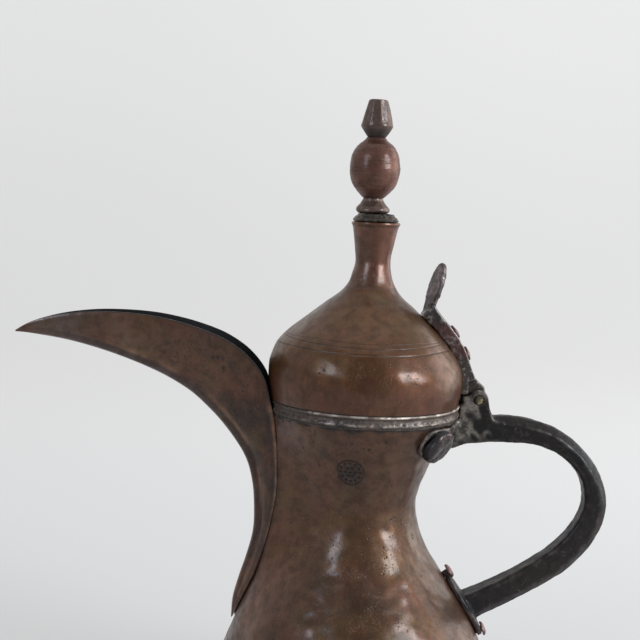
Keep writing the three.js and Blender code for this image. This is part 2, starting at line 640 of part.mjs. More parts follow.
add('upper_body', makeUpperBody(), COPPER);
add('lower_body', makeLowerBody(), COPPER);
add('base_plate', turned(BASE_PLATE), COPPER);
add('mouth_band', makeMouthBand(), TINNED);
add('spout', makeSpout(), COPPER);
add('handle', makeHandle(), DARK_CAST);
add('saddle_rivet_left', makeBoss(1), COPPER);
add('saddle_rivet_right', makeBoss(-1), COPPER);
['foot_rivet_lower', 'foot_rivet_upper'].forEach((name, i) => {
  const piece = rivet(3.6, 1.6, PALM_THICKNESS + GAP, -SHEET - GAP);
  add(name, aim(piece, shoulderPlace(FOOT_RIVET_HEIGHTS[i], 0)), COPPER);
});
add('hinge_pin', makeHingePin(), BRASS);
add('lid_dome', makeLidDome(), COPPER);
add('lid_collar', turned(COLLAR), TINNED);
add('lid_neck', makeLidNeck(), RED_COPPER);
add('neck_cap', makeNeckCap(), COPPER);
add('finial_bead', turned(BEAD, SMALL_TURNS), COPPER);
add('finial_ball', turned(BALL, SMALL_TURNS + 4), RED_COPPER);
add('finial_cap', turned(CAP, SMALL_TURNS), COPPER);
add('finial_rod', turned(ROD, 16), COPPER);
add('rod_washer', turned(WASHER, 16), COPPER);
add('lid_strap', makeStrap(), DARK_CAST);
['strap_rivet_lower', 'strap_rivet_upper'].forEach((name, i) => {
  add(name, aim(rivet(3.7, 1.6, GAP + 0.1, -8.6), STRAP_RIVETS[i]), RED_COPPER);
});

export default pot;
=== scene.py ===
"""Dallah coffee pot: fine visual pieces, finishes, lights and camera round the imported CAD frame.

Lengths are millimetres in the pot's own frame (+Z up, spout along -X) and become metres when a mesh is made.
"""

import math

import bmesh
import bpy
import numpy as np
from mathutils import Matrix, Vector


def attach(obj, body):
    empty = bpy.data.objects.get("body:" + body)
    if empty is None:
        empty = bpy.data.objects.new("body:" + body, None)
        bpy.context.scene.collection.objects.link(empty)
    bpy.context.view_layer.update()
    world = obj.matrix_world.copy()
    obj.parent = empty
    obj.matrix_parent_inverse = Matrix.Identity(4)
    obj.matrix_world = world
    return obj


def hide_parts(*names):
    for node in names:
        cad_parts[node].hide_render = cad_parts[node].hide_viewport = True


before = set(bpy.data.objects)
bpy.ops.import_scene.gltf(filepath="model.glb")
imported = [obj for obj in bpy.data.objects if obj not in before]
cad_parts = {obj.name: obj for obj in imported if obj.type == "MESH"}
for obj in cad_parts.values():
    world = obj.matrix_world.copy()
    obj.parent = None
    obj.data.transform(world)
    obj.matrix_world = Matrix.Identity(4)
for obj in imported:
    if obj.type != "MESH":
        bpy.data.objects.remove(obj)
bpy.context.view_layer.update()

MM = 0.001
TAU = 2 * math.pi
SHARP_EDGE = 38

# ---- Outlines, as [radius, height] from the bottom up ----
SHEET = 1.4
BAND_BOTTOM = 173.4
BAND_GAP = 13.4
SHOULDER = [
    [64.9, 56], [60.6, 66.5], [54.6, 76.5], [48, 86], [41.3, 95.3], [35.6, 103.2], [31, 113], [28.6, 122.5],
    [28, 129], [29.3, 136], [31.6, 143], [35.2, 151.5], [39.9, 161.5], [43.8, 169], [45.2, 173.6],
    [45.4, 179.5],
]
BELLY = [[59.7, 2.2], [60.1, 7.5], [64.6, 15.5], [68.4, 26], [69.7, 36], [68.4, 46.5], [65, 55.9]]
DOME = [
    [47.2, 180.1], [47.9, 184.7], [48.5, 189.8], [48.4, 194.4], [47.8, 198.8], [46, 203.3], [43.3, 208.1],
    [37.9, 214.2], [32.6, 219], [26.6, 224.1], [21, 228.8], [17.2, 231.8], [14.2, 234.7], [12.9, 236.4],
]
NECK = [
    [12.9, 236.4], [12, 237.8], [10.7, 240.8], [9.8, 243.8], [9, 246.8], [8.7, 249.8], [8.9, 252.6],
    [9.4, 255.8], [10.1, 260.2], [11, 264.8], [11.5, 267.2],
]
LID_SHIFT = [
    [180, -0.2], [195, -0.4], [203, -1.3], [208.5, -2], [214, -1.5], [220, -0.7], [230, -0.5], [236.4, 0.4],
    [248, 0.9], [269.2, 1.6],
]
# [edge x, edge z, half width, keel x, keel z] from the spout's foot to its tip.
SPOUT = [
    [-62.2, 66, 1.8, -63.6, 63.5], [-57.3, 77, 4.4, -63.1, 74.5], [-52.6, 88, 6.6, -60.4, 85.5],
    [-48.6, 100, 8, -56.8, 97.5], [-45.2, 115, 9.5, -54, 110], [-42.6, 131, 11, -53.8, 122],
    [-42.4, 145, 12, -55, 134.5], [-43.5, 160, 12.4, -58.6, 147], [-45.2, 172, 12.6, -64.4, 156.6],
    [-46.9, 178.5, 12.6, -70.6, 164.4], [-50.5, 190.7, 12.4, -78.4, 172.5], [-58.5, 200.8, 12, -87, 179.9],
    [-70, 208.7, 11.7, -97.5, 186.3], [-85, 214.3, 11, -109, 191.6], [-103, 218.3, 9.7, -122, 196.4],
    [-123.5, 219.8, 7.8, -137, 200.9], [-142, 219, 5.6, -151, 204.1], [-159.6, 215.6, 3.4, -164, 206],
    [-171.4, 211.2, 1.6, -172.5, 206.9], [-176.6, 207.9, 0.7, -176.8, 207.1],
]
SEAM_STATIONS = 10
KEEL_HEIGHT = 4.2
SNOUT_SPREAD = math.radians(66)
SNOUT_HOLLOW = 3.2
SEAM_GAP = 0.1
SNOUT_TOP = 174.4
SNOUT_FADE = 2.4
# [outer x, outer z, inner x, inner z, half width] from the hinge block round to the foot.
HANDLE = [
    [60, 174.5, 60, 162, 6.3], [66, 174.8, 67, 161.8, 6.3], [75, 174.8, 76, 161.9, 6.2],
    [84.5, 173.4, 85.7, 161.3, 6], [98, 169, 95.5, 158.2, 6], [109.4, 161.2, 103, 153.6, 6],
    [119.6, 148.8, 110.2, 145.5, 6], [124.5, 135.5, 113.1, 135.2, 6], [124.3, 124.5, 112, 127, 6],
    [119.2, 111.4, 107.6, 118.4, 6], [107.5, 97.5, 98.6, 108, 6], [92, 86.5, 84.8, 97.8, 6],
    [77, 78, 71, 89.6, 6.4], [62, 70, 55.5, 81.5, 7.2],
]
HINGE = Vector((56.8, 0, 183))
BOSS_ANGLE = math.radians(40)
BOSS_Z = 165.5
BOSS_RADIUS = 8.8
STRAP_RIVETS = [((50, 0, 205.4), (0.92, 0, 0.4)), ((43.5, 0, 216), (0.79, 0, 0.61))]
FOOT_RIVETS = [62, 91]
RIVET_SHANK = 1.6

# The stamped mark: its place, its distance from the pot's axis, and its dots as (count, ring radius).
MARK = Vector((-6.6, -33.7, 149.6))
MARK_FROM_AXIS = 34.4
MARK_DOTS = [(1, 0), (6, 2.3), (12, 4.9)]
MARK_DOT_WIDTH = 1.0
MARK_RIM = 6.4
MARK_DEPTH = 0.5

# The strainer: the lowest row of holes, the rows' pitch, and the holes' radius.
STRAINER_FOOT = 106
STRAINER_ROWS = 7
STRAINER_PITCH = 8.5
STRAINER_HOLE = 1.4

# Steps round one side of the spout's section: down to the crease, then down to the keel.
SIDE_STEPS = 22
KEEL_STEPS = 10


# ---- Numbers ----
def spline(points, count):
    """Evenly spaced points on a smooth curve through a few points of any dimension."""
    p = np.asarray(points, float)
    t = np.r_[0, np.cumsum(np.linalg.norm(np.diff(p, axis=0), axis=1))]
    slope = np.gradient(p, t, axis=0)
    u = np.linspace(0, t[-1], count)
    i = np.clip(np.searchsorted(t, u, side="right") - 1, 0, len(t) - 2)
    step = (t[i + 1] - t[i])[:, None]
    s = (u - t[i])[:, None] / step
    start = (1 + 2 * s) * (1 - s) ** 2 * p[i] + s * (1 - s) ** 2 * step * slope[i]
    return start + s * s * (3 - 2 * s) * p[i + 1] + s * s * (s - 1) * step * slope[i + 1]


def waves(points, size, seed, count=16):
    """Smooth seeded noise of about unit strength, with bumps of about the given size."""
    rng = np.random.default_rng(seed)
    direction = rng.normal(size=(count, 3))
    direction /= np.linalg.norm(direction, axis=1)[:, None]
    turn = direction * (rng.uniform(0.6, 1.4, count) * TAU / size)[:, None]
    return np.sin(points @ turn.T + rng.uniform(0, TAU, count)).sum(axis=-1) / math.sqrt(count / 2)


def smoothstep(low, high, value):
    t = np.clip((value - low) / (high - low), 0, 1)
    return t * t * (3 - 2 * t)


def groove(distance, width):
    """1 along a line, falling smoothly to 0 within about two widths of it."""
    return np.exp(-((distance / width) ** 2))


def radius_of(points):
    """Each point's distance from the z axis."""
    return np.hypot(points[..., 0], points[..., 1])


def pushed_out(points, distance):
    """The points moved away from the z axis by a distance in millimetres each."""
    share = distance / np.maximum(radius_of(points), 1)
    return points * (1 + share[..., None] * np.array([1, 1, 0]))


def divided(outline, steps):
    """An outline with each of its straight lines divided into equal steps."""
    parts = [np.linspace(a, b, steps, endpoint=False) for a, b in zip(outline[:-1], outline[1:])]
    return [*np.vstack(parts).tolist(), outline[-1]]


def table_value(table, key):
    rows = np.asarray(table, float)
    return np.interp(key, rows[:, 0], rows[:, 1])


shoulder_line = spline(SHOULDER, 200)
seam_line = np.array(SPOUT[:SEAM_STATIONS])


def shoulder_radius(z):
    return np.interp(z, shoulder_line[:, 1], shoulder_line[:, 0])


def at_seam(z, column):
    """A column of the spout's table at a height on its seam."""
    return np.interp(z, seam_line[:, 1], seam_line[:, column])


def shoulder_frame(z, angle):
    """A point on the shoulder and the direction out of it, at an angle from +X."""
    slope = float(shoulder_radius(z + 1) - shoulder_radius(z - 1)) / 2
    radius = float(shoulder_radius(z))
    out = Vector((1, 0, -slope)).normalized()
    turn = Matrix.Rotation(angle, 3, "Z")
    return turn @ Vector((radius, 0, z)), turn @ out


# ---- Meshes ----
def add_object(name, data):
    obj = bpy.data.objects.new(name, data)
    bpy.context.scene.collection.objects.link(obj)
    return obj


def make_object(name, points, faces):
    mesh = bpy.data.meshes.new(name)
    mesh.from_pydata((np.asarray(points) * MM).tolist(), [], faces)
    mesh.validate()
    return add_object(name, mesh)


def grid(name, rings, closed=True, looped=False):
    """A mesh through rings of points: closed rings by default, and looped from the last ring to the first."""
    rings = np.asarray(rings, float)
    rows, count = rings.shape[:2]
    faces = []
    for i in range(rows if looped else rows - 1):
        for j in range(count if closed else count - 1):
            k, n = (j + 1) % count, (i + 1) % rows
            faces.append((i * count + j, i * count + k, n * count + k, n * count + j))
    if closed and not looped:
        faces.append(tuple(range(count))[::-1])
        faces.append(tuple((rows - 1) * count + j for j in range(count)))
    return make_object(name, rings.reshape(-1, 3), faces)


def revolve_points(outline, sides, start=0.0, sweep=TAU):
    """Points as [outline point, side, xyz]."""
    full = abs(sweep - TAU) < 1e-6
    angle = start + np.linspace(0, sweep, sides, endpoint=not full)
    outline = np.asarray(outline, float)
    radius, height = outline[:, :1], outline[:, 1:]
    return np.stack([radius * np.cos(angle), radius * np.sin(angle), height + 0 * angle], axis=-1)


def turned(name, outline, sides, shift=0.0):
    """A turned piece, shifted along x, from an outline that runs from axis to axis or closes on itself."""
    points = revolve_points(outline, sides) + np.array([shift, 0, 0])
    hollow = np.allclose(outline[0], outline[-1])
    obj = grid(name, points[:-1] if hollow else points, looped=hollow)
    if not hollow:
        weld(obj)
    return obj


def weld(obj, distance=0.02):
    """Merges vertices that share a place, and turns every face outwards."""
    bm = bmesh.new()
    bm.from_mesh(obj.data)
    bmesh.ops.remove_doubles(bm, verts=bm.verts, dist=distance * MM)
    bmesh.ops.recalc_face_normals(bm, faces=bm.faces)
    bm.to_mesh(obj.data)
    bm.free()


def apply_modifier(obj, kind, **settings):
    """Replaces a piece's mesh by the result of one modifier."""
    modifier = obj.modifiers.new("work", kind)
    for key, value in settings.items():
        setattr(modifier, key, value)
    bpy.context.view_layer.update()
    evaluated = obj.evaluated_get(bpy.context.evaluated_depsgraph_get())
    mesh = bpy.data.meshes.new_from_object(evaluated)
    obj.modifiers.remove(modifier)
    old = obj.data
    obj.data = mesh
    bpy.data.meshes.remove(old)


def cut(obj, tools):
    """Cuts closed solids out of a piece and removes them from the scene."""
    for tool in tools:
        apply_modifier(obj, "BOOLEAN", object=tool, operation="DIFFERENCE", solver="MANIFOLD")
        bpy.data.objects.remove(tool)
    obj.data.materials.clear()


def vertices(obj):
    """Each vertex's place in millimetres."""
    points = np.empty(len(obj.data.vertices) * 3)
    obj.data.vertices.foreach_get("co", points)
    return points.reshape(-1, 3) / MM


def normals(obj):
    found = np.empty(len(obj.data.vertices) * 3)
    obj.data.vertices.foreach_get("normal", found)
    return found.reshape(-1, 3)


def push(obj, height):
    """Moves each vertex out along its normal by height(points) millimetres."""
    points = vertices(obj)
    moved = points + normals(obj) * height(points)[:, None]
    obj.data.vertices.foreach_set("co", (moved * MM).ravel())
    obj.data.update()


def store(obj, name, values):
    """Stores a value of 0 to 1 at each vertex for the finish to read."""
    attribute = obj.data.attributes.new(name, "FLOAT", "POINT")
    attribute.data.foreach_set("value", np.clip(values, 0, 1).astype(np.float32))


def mark(obj, **amounts):
    """Stores grime and painted shade, wear and painted highlights, pits or tint as given by a function of the
    vertices' places.
    """
    points = vertices(obj)
    for name, amount in amounts.items():
        store(obj, name, amount(points))


def standing_out(obj, rounds):
    """How far each vertex stands out from its surroundings, in millimetres."""
    points = vertices(obj)
    ends = np.empty(len(obj.data.edges) * 2, int)
    obj.data.edges.foreach_get("vertices", ends)
    a, b = ends.reshape(-1, 2).T
    count = np.bincount(ends, minlength=len(points))[:, None]
    around = points.copy()
    for _ in range(rounds):
        total = np.zeros_like(points)
        np.add.at(total, a, around[b])
        np.add.at(total, b, around[a])
        around = total / count
    return ((points - around) * normals(obj)).sum(axis=1)


def aim(obj, point, direction):
    """Moves a piece made along +Z so that it points along a direction from a point."""
    turn = Vector((0, 0, 1)).rotation_difference(Vector(direction).normalized()).to_matrix().to_4x4()
    obj.data.transform(Matrix.Translation(Vector(point) * MM) @ turn)
    return obj


def finish_piece(obj, body, node, finish, sharp=SHARP_EDGE):
    """Smooth shading, the material, and the piece's place in the frame."""
    if not obj.data.materials:
        obj.data.materials.append(finish.material)
    obj.data.polygons.foreach_set("use_smooth", [True] * len(obj.data.polygons))
    obj.data.set_sharp_from_angle(angle=math.radians(sharp))
    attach(obj, body)
    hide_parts(node)


# ---- Finishes ----
COAT_ROUGHNESS = 0.18
COAT_IOR = 1.8


def set_inputs(node, values):
    """Sets constants on a node's own sockets."""
    for name, value in values.items():
        node.inputs[name].default_value = value


class Finish:
    """One metal finish. Texture sizes are millimetres in the pot's frame, and bump heights are millimetres."""

    def __init__(self, name, slot):
        self.slot = slot
        self.material = bpy.data.materials.new(name)
        self.material.use_nodes = True
        self.tree = self.material.node_tree
        self.shader = next(n for n in self.tree.nodes if n.type == "BSDF_PRINCIPLED")
        place = self.add("ShaderNodeTexCoord").outputs["Object"]
        self.place = self.vector("SCALE", place, scale=1 / MM)
        split = self.add("ShaderNodeSeparateXYZ")
        self.tree.links.new(self.place, split.inputs[0])
        self.x, self.y, self.z = split.outputs
        self.height = 0.0

    def add(self, kind, **settings):
        node = self.tree.nodes.new(kind)
        for key, value in settings.items():
            setattr(node, key, value)
        return node

    def feed(self, socket, value):
        if isinstance(value, bpy.types.NodeSocket):
            self.tree.links.new(value, socket)
        else:
            socket.default_value = value

    def vector(self, operation, a, b=None, scale=None):
        node = self.add("ShaderNodeVectorMath", operation=operation)
        self.feed(node.inputs[0], a)
        if b is not None:
            self.feed(node.inputs[1], b)
        if scale is not None:
            node.inputs["Scale"].default_value = scale
        return node.outputs[0]

    def math(self, operation, a, b=0.0, c=None):
        node = self.add("ShaderNodeMath", operation=operation)
        self.feed(node.inputs[0], a)
        self.feed(node.inputs[1], b)
        if c is not None:
            self.feed(node.inputs[2], c)
        return node.outputs[0]

    def times(self, a, b):
        return self.math("MULTIPLY", a, b)

    def highest(self, a, b):
        return self.math("MAXIMUM", a, b)

    def ramp(self, value, low, high, to_low=0.0, to_high=1.0):
        node = self.add("ShaderNodeMapRange", interpolation_type="SMOOTHSTEP")
        for socket, number in zip(node.inputs, (value, low, high, to_low, to_high)):
            self.feed(socket, number)
        return node.outputs[0]

    def stretched(self, size, stretch, turn):
        node = self.add("ShaderNodeMapping")
        self.feed(node.inputs["Vector"], self.place)
        set_inputs(node, {"Rotation": turn, "Scale": [s / size for s in stretch]})
        return node.outputs[0]

    def noise(self, size, detail=4.0, roughness=0.55, stretch=(1, 1, 1), turn=(0, 0, 0)):
        node = self.add("ShaderNodeTexNoise")
        self.feed(node.inputs["Vector"], self.stretched(size, stretch, turn))
        set_inputs(node, {"Scale": 1.0, "Detail": detail, "Roughness": roughness})
        return node.outputs[0]

    def cells(self, size, smooth=False):
        node = self.add("ShaderNodeTexVoronoi", feature="SMOOTH_F1" if smooth else "F1")
        self.feed(node.inputs["Vector"], self.stretched(size, (1, 1, 1), (0, 0, 0)))
        set_inputs(node, {"Scale": 1.0})
        return node.outputs["Distance"]

    def blend(self, amount, a, b):
        node = self.add("ShaderNodeMix", data_type="RGBA")
        self.feed(node.inputs[0], amount)
        self.feed(node.inputs[6], a)
        self.feed(node.inputs[7], b)
        return node.outputs[2]

    def raise_by(self, value, millimetres):
        self.height = self.math("MULTIPLY_ADD", value, millimetres, self.height)

    def lines(self, length, width, turn, sharpness):
        """Thin, broken scratches that run along one direction."""
        wavy = self.noise(width, detail=1.0, stretch=(1, 1, width / length), turn=turn)
        near = self.math("ABSOLUTE", self.math("SUBTRACT", wavy, 0.5))
        line = self.ramp(near, 0.0, sharpness, 1.0, 0.0)
        broken = self.ramp(self.noise(length * 0.4, detail=2.0, turn=turn), 0.48, 0.62)
        return self.times(line, broken)

    def zone(self, axis, low, high, soft, ragged=0.0):
        """1 between two heights or widths, with ragged edges."""
        value = axis
        if ragged:
            wander = self.math("SUBTRACT", self.noise(7, detail=5.0), 0.5)
            value = self.math("MULTIPLY_ADD", wander, ragged, axis)
        rise = self.ramp(value, low - soft, low + soft)
        fall = self.ramp(value, high - soft, high + soft, 1.0, 0.0)
        return self.times(rise, fall)

    def stored(self, name):
        """A value stored at each vertex, such as grime and painted shade, or wear and painted highlights."""
        return self.add("ShaderNodeAttribute", attribute_name=name).outputs["Fac"]

    def connect(self, colour, roughness, metallic, coat):
        bump = self.add("ShaderNodeBump")
        set_inputs(bump, {"Distance": MM, "Strength": 1.0})
        self.feed(bump.inputs["Height"], self.height)
        set_inputs(self.shader, {
            "Coat Roughness": COAT_ROUGHNESS, "Coat IOR": COAT_IOR, "Specular IOR Level": 0.5,
        })
        linked = {
            "Base Color": colour, "Roughness": roughness, "Metallic": metallic, "Coat Weight": coat,
            "Normal": bump.outputs[0], "Coat Normal": bump.outputs[0],
        }
        for name, value in linked.items():
            self.feed(self.shader.inputs[name], value)


def colour(red, green, blue):
    """An sRGB colour of 0 to 255 as the linear colour that a socket takes."""
    linear = [((c / 255 + 0.055) / 1.055) ** 2.4 if c > 10 else c / 255 / 12.92 for c in (red, green, blue)]
    return (*linear, 1.0)


def patina(name, slot, deep, middle, light, *, coat, pitted, rough=0.42, metallic=0.7, hammer=0.05, turning=0.0,
           cast=0.0, fleck=None, flecked=0.0, zones=(), blooms=(), tint=None, grime=(22, 17, 15)):
    """Old metal: broad colour drift, fine mottling, pits, scratches, tin flecks, stored wear with painted
    highlights, and stored dirt in the hollows with painted shade.

    Colours are sRGB of 0 to 255. Each zone is (axis, low, high, softness, raggedness, amount, colour), and each
    bloom is (size of the patches, amount, colour).
    """
    f = Finish(name, slot)
    broad = f.noise(34, detail=5.0, roughness=0.6)
    mottle = f.noise(5.5, detail=6.0, roughness=0.62)
    grain = f.noise(0.9, detail=3.0)
    tone = f.blend(f.ramp(broad, 0.36, 0.52), colour(*deep), colour(*middle))
    tone = f.blend(f.ramp(broad, 0.5, 0.68), tone, colour(*light))
    for axis, low, high, soft, ragged, amount, shade in zones:
        inside = f.times(f.zone(getattr(f, axis), low, high, soft, ragged), amount)
        tone = f.blend(inside, tone, colour(*shade))
    for span, amount, shade in blooms:
        bloom = f.ramp(f.noise(span, detail=4.0, roughness=0.6), 0.47, 0.62, 0.0, amount)
        tone = f.blend(bloom, tone, colour(*shade))
    # The stored tint: the stamped mark's darker patch, bare copper on the band, solder on the handle, and a
    # painted reflection of the bluish left light on the spout's keel.
    if tint:
        tinted = f.times(f.stored("tint"), f.ramp(mottle, 0.4, 0.58, 0.95, 0.95 - 1.2 * cast))
        tone = f.blend(tinted, tone, colour(*tint))
    tone = f.blend(f.ramp(mottle, 0.4, 0.66, 0.0, 0.55), tone, colour(*deep))
    tone = f.blend(f.ramp(grain, 0.35, 0.7, 0.0, 0.3), tone, colour(*light))

    crowd = f.stored("pits")
    pit_field = f.ramp(f.noise(17, detail=2.0), 0.62 - 0.2 * pitted, 0.72 - 0.2 * pitted)
    pit = f.times(f.ramp(f.cells(4.6), 0.05, 0.17, 1.0, 0.0), pit_field)
    crowded = f.times(f.ramp(f.cells(2.9), 0.18, 0.42, 1.0, 0.0), crowd)
    crowded = f.times(crowded, f.ramp(f.noise(6, detail=3.0), 0.4, 0.52))
    pit = f.highest(pit, crowded)
    speck_field = f.ramp(f.noise(9, detail=3.0), 0.44, 0.6, 0.0, 0.8 * pitted)
    speck_field = f.highest(speck_field, f.times(crowd, 0.9))
    speck = f.times(f.ramp(f.cells(1.7), 0.1, 0.3, 1.0, 0.0), speck_field)
    dark = f.highest(f.times(pit, 0.85), speck)
    tone = f.blend(dark, tone, colour(*grime))

    scratch = f.highest(f.lines(26, 1.5, (0.3, 1.2, 0.4), 0.012), f.lines(19, 1.1, (1.1, 0.5, 2.0), 0.01))
    scratched = colour(*(min(255, c * 1.5) for c in light))
    tone = f.blend(f.times(scratch, 0.28), tone, scratched)

    worn = 0.0
    if flecked:
        spots = f.ramp(f.noise(2.3, detail=4.0, roughness=0.65), 0.66 - 0.16 * flecked, 0.74 - 0.14 * flecked)
        patches = f.ramp(f.noise(12, detail=3.0), 0.4, 0.62)
        worn = f.times(spots, patches)
        if tint:
            bare = f.math("SUBTRACT", 1.0, f.times(f.stored("tint"), 0.85))
            worn = f.times(worn, bare)
        tone = f.blend(f.times(worn, 0.75), tone, colour(*fleck))

    # Lightened where wear is stored: real wear, and painted highlights on the boss, the spout's crease and its
    # seam lip.
    rubbed = f.times(f.stored("wear"), f.ramp(mottle, 0.3, 0.62, 1.0, 0.45))
    tone = f.blend(rubbed, tone, colour(*(min(255, c * 1.5 + 24) for c in fleck or light)))
    # Darkened where grime is stored: real dirt, and painted shade under the band, beside the seam, on the
    # spout's rim, inside the pot and lid, and in the finial's undercuts.
    dirt_and_shade = f.times(f.stored("grime"), f.ramp(mottle, 0.2, 0.6, 0.75, 1.0))
    tone = f.blend(dirt_and_shade, tone, colour(*grime))

    f.raise_by(f.cells(11, smooth=True), hammer * 3)
    f.raise_by(mottle, 0.05 + 0.35 * cast)
    f.raise_by(grain, 0.012 + 0.05 * cast)
    f.raise_by(f.highest(pit, speck), -0.14)
    f.raise_by(scratch, -0.02)
    if turning:
        f.raise_by(f.noise(0.55, detail=3.0, stretch=(0.02, 0.02, 1)), turning)
        rings = f.noise(0.9, detail=2.0, stretch=(0.02, 0.02, 1))
        tone = f.blend(f.ramp(rings, 0.52, 0.66, 0.0, 0.45), tone, colour(*deep))

    roughness = f.math("MULTIPLY_ADD", f.math("SUBTRACT", mottle, 0.5), 0.45, rough)
    roughness = f.math("MULTIPLY_ADD", f.math("SUBTRACT", broad, 0.5), 0.25, roughness)
    roughness = f.math("MULTIPLY_ADD", f.highest(dark, dirt_and_shade), 0.3, roughness)
    roughness = f.math("MINIMUM", f.highest(roughness, 0.16), 0.9)
    clean = f.math("SUBTRACT", 1.0, f.highest(dark, dirt_and_shade))
    coated = f.times(f.ramp(mottle, 0.3, 0.75, coat, coat * 0.55), clean)
    metal = f.times(f.ramp(broad, 0.3, 0.7, metallic * 0.9, metallic), clean)
    metal = f.math("MINIMUM", f.math("ADD", metal, f.times(worn, 0.2)), 1.0)
    f.connect(tone, roughness, metal, coated)
    return f


BLOOMS = [(19, 0.45, (90, 68, 34)), (27, 0.4, (100, 54, 40))]
body_finish = patina(
    "patina_body", "copper", (47, 31, 21), (80, 49, 29), (102, 67, 41), metallic=0.72, coat=0.33, hammer=0.045,
    pitted=0.7, blooms=BLOOMS, tint=(44, 33, 29),
    zones=[("z", 158, 176, 6, 10, 0.5, (76, 46, 34)), ("z", 96, 132, 12, 10, 0.5, (90, 62, 40))])
dome_finish = patina(
    "patina_dome", "copper", (52, 33, 18), (82, 46, 15), (100, 62, 24), metallic=0.72, coat=0.33, hammer=0.03,
    pitted=0.6, blooms=BLOOMS,
    zones=[("z", 178, 193, 5, 16, 0.8, (86, 48, 35)), ("z", 203, 228, 8, 8, 0.5, (92, 59, 28))])
neck_finish = patina(
    "patina_neck", "red_copper", (60, 43, 33), (94, 61, 44), (116, 78, 57), metallic=0.74, coat=0.3,
    hammer=0.02, pitted=0.6, blooms=BLOOMS,
    zones=[("x", 1, 16, 4, 4, 0.55, (112, 62, 44)), ("z", 236, 243, 3, 4, 0.4, (74, 54, 42))])
# The tint colour here paints the spout's keel strip: a painted reflection of the bluish left light.
spout_finish = patina(
    "patina_spout", "copper", (48, 35, 28), (84, 55, 40), (104, 74, 54), metallic=0.74, coat=0.25, hammer=0.03,
    pitted=0.6, blooms=BLOOMS, tint=(72, 61, 60),
    zones=[("x", -180, -140, 12, 8, 0.7, (98, 84, 77)), ("x", -128, -112, 7, 6, 0.6, (110, 88, 68)),
           ("x", -105, -66, 8, 8, 0.6, (92, 60, 46)), ("z", 96, 178, 8, 10, 0.92, (34, 22, 17))])
# Near-black finish inside the spout: painted shade.
inner_finish = patina(
    "painted_shade_inside", "copper", (8, 8, 9), (12, 11, 12), (20, 18, 17), rough=0.7, coat=0.03, metallic=0.2,
    pitted=0.8)
ball_finish = patina(
    "turned_red", "red_copper", (58, 37, 30), (94, 59, 46), (114, 74, 58), rough=0.5, coat=0.24, hammer=0.0,
    pitted=0.3, turning=0.05)
grey_finish = patina(
    "turned_grey", "copper", (56, 42, 36), (88, 66, 56), (110, 88, 76), rough=0.46, coat=0.35, hammer=0.02,
    pitted=0.6, turning=0.02, fleck=(136, 120, 108), flecked=0.35)
rough_finish = patina(
    "speckled_cap", "copper", (36, 30, 26), (58, 49, 41), (90, 77, 64), rough=0.5, coat=0.25, hammer=0.0,
    cast=0.5, pitted=0.9, fleck=(156, 134, 106), flecked=0.6)
cast_finish = patina(
    "dark_cast_handle", "dark_cast", (10, 7, 7), (19, 12, 12), (34, 23, 22), rough=0.48, coat=0.12,
    metallic=0.6, hammer=0.0, cast=0.5, pitted=0.9, fleck=(84, 71, 65), flecked=0.45, tint=(142, 132, 122),
    grime=(6, 5, 6), zones=[("z", 84, 124, 8, 10, 0.3, (48, 42, 38))])
strap_finish = patina(
    "dark_cast_strap", "dark_cast", (34, 27, 26), (54, 44, 42), (80, 66, 62), rough=0.46, coat=0.3,
    metallic=0.6, hammer=0.0, cast=0.55, pitted=0.9, fleck=(150, 142, 132), flecked=0.95, grime=(10, 8, 8),
    zones=[("z", 204, 220, 4, 6, 0.8, (88, 46, 42)), ("z", 230, 255, 4, 4, 0.75, (120, 98, 99)),
           ("z", 184, 194, 4, 5, 0.5, (60, 54, 40))])
tin_finish = patina(
    "worn_tinning", "tinned", (54, 44, 39), (98, 84, 76), (126, 112, 102), rough=0.5, coat=0.15, hammer=0.01,
    cast=0.3, pitted=1.0, tint=(58, 43, 33), fleck=(150, 138, 127), flecked=0.4, grime=(20, 16, 14))
boss_finish = patina(
    "boss_face", "copper", (36, 28, 28), (54, 42, 42), (74, 60, 58), rough=0.46, coat=0.22, hammer=0.02,
    cast=0.15, pitted=0.7, fleck=(150, 132, 118), flecked=0.2)
rivet_finish = patina(
    "rivet_red", "red_copper", (70, 46, 42), (112, 78, 74), (140, 104, 98), rough=0.44, coat=0.35, hammer=0.0,
    cast=0.3, pitted=0.7)
brass_finish = patina(
    "worn_brass", "brass", (84, 72, 50), (132, 117, 84), (184, 169, 132), rough=0.42, coat=0.15, metallic=0.85,
    hammer=0.0, cast=0.2, pitted=0.8, grime=(26, 21, 16))


# ---- Pot ----
def snout_radius(z, angle):
    """The shoulder's radius at an angle from -X, drawn out towards the spout and hollow beside it."""
    front = -at_seam(z, 0) - SEAM_GAP
    half_width = at_seam(z, 2)
    round_wall = shoulder_radius(z)
    corner = np.arctan2(half_width, front)
    drawn = np.maximum(np.hypot(front, half_width) - round_wall, 0)
    fade = np.clip((SNOUT_TOP - z) / SNOUT_FADE, 0, 1) * (z >= SPOUT[0][1])
    away = np.abs(angle)
    face = np.maximum(front / np.cos(np.minimum(away, corner)), round_wall) - round_wall
    spread = np.clip((away - corner) / (SNOUT_SPREAD - corner), 0, 1)
    return round_wall + fade * np.where(away < corner, face, drawn * (1 - spread) ** SNOUT_HOLLOW)


def channel_points(z):
    """The strainer's pocket at one height: between the round wall and the spout."""
    half = at_seam(z, 2) - SHEET
    front = at_seam(z, 0) - 3
    y = np.linspace(-half, half, 17)
    wall = -np.sqrt(shoulder_radius(z) ** 2 - y**2)
    back = [[x, v, z] for x, v in zip(wall, y)]
    return [[front, half, z], [front, -half, z], *back]


def mark_dots():
    """The places of a stamped rosette's dots: across the mark and up it."""
    turns = [(radius, TAU * i / count) for count, radius in MARK_DOTS for i in range(count)]
    return [(radius * math.cos(turn), radius * math.sin(turn)) for radius, turn in turns]


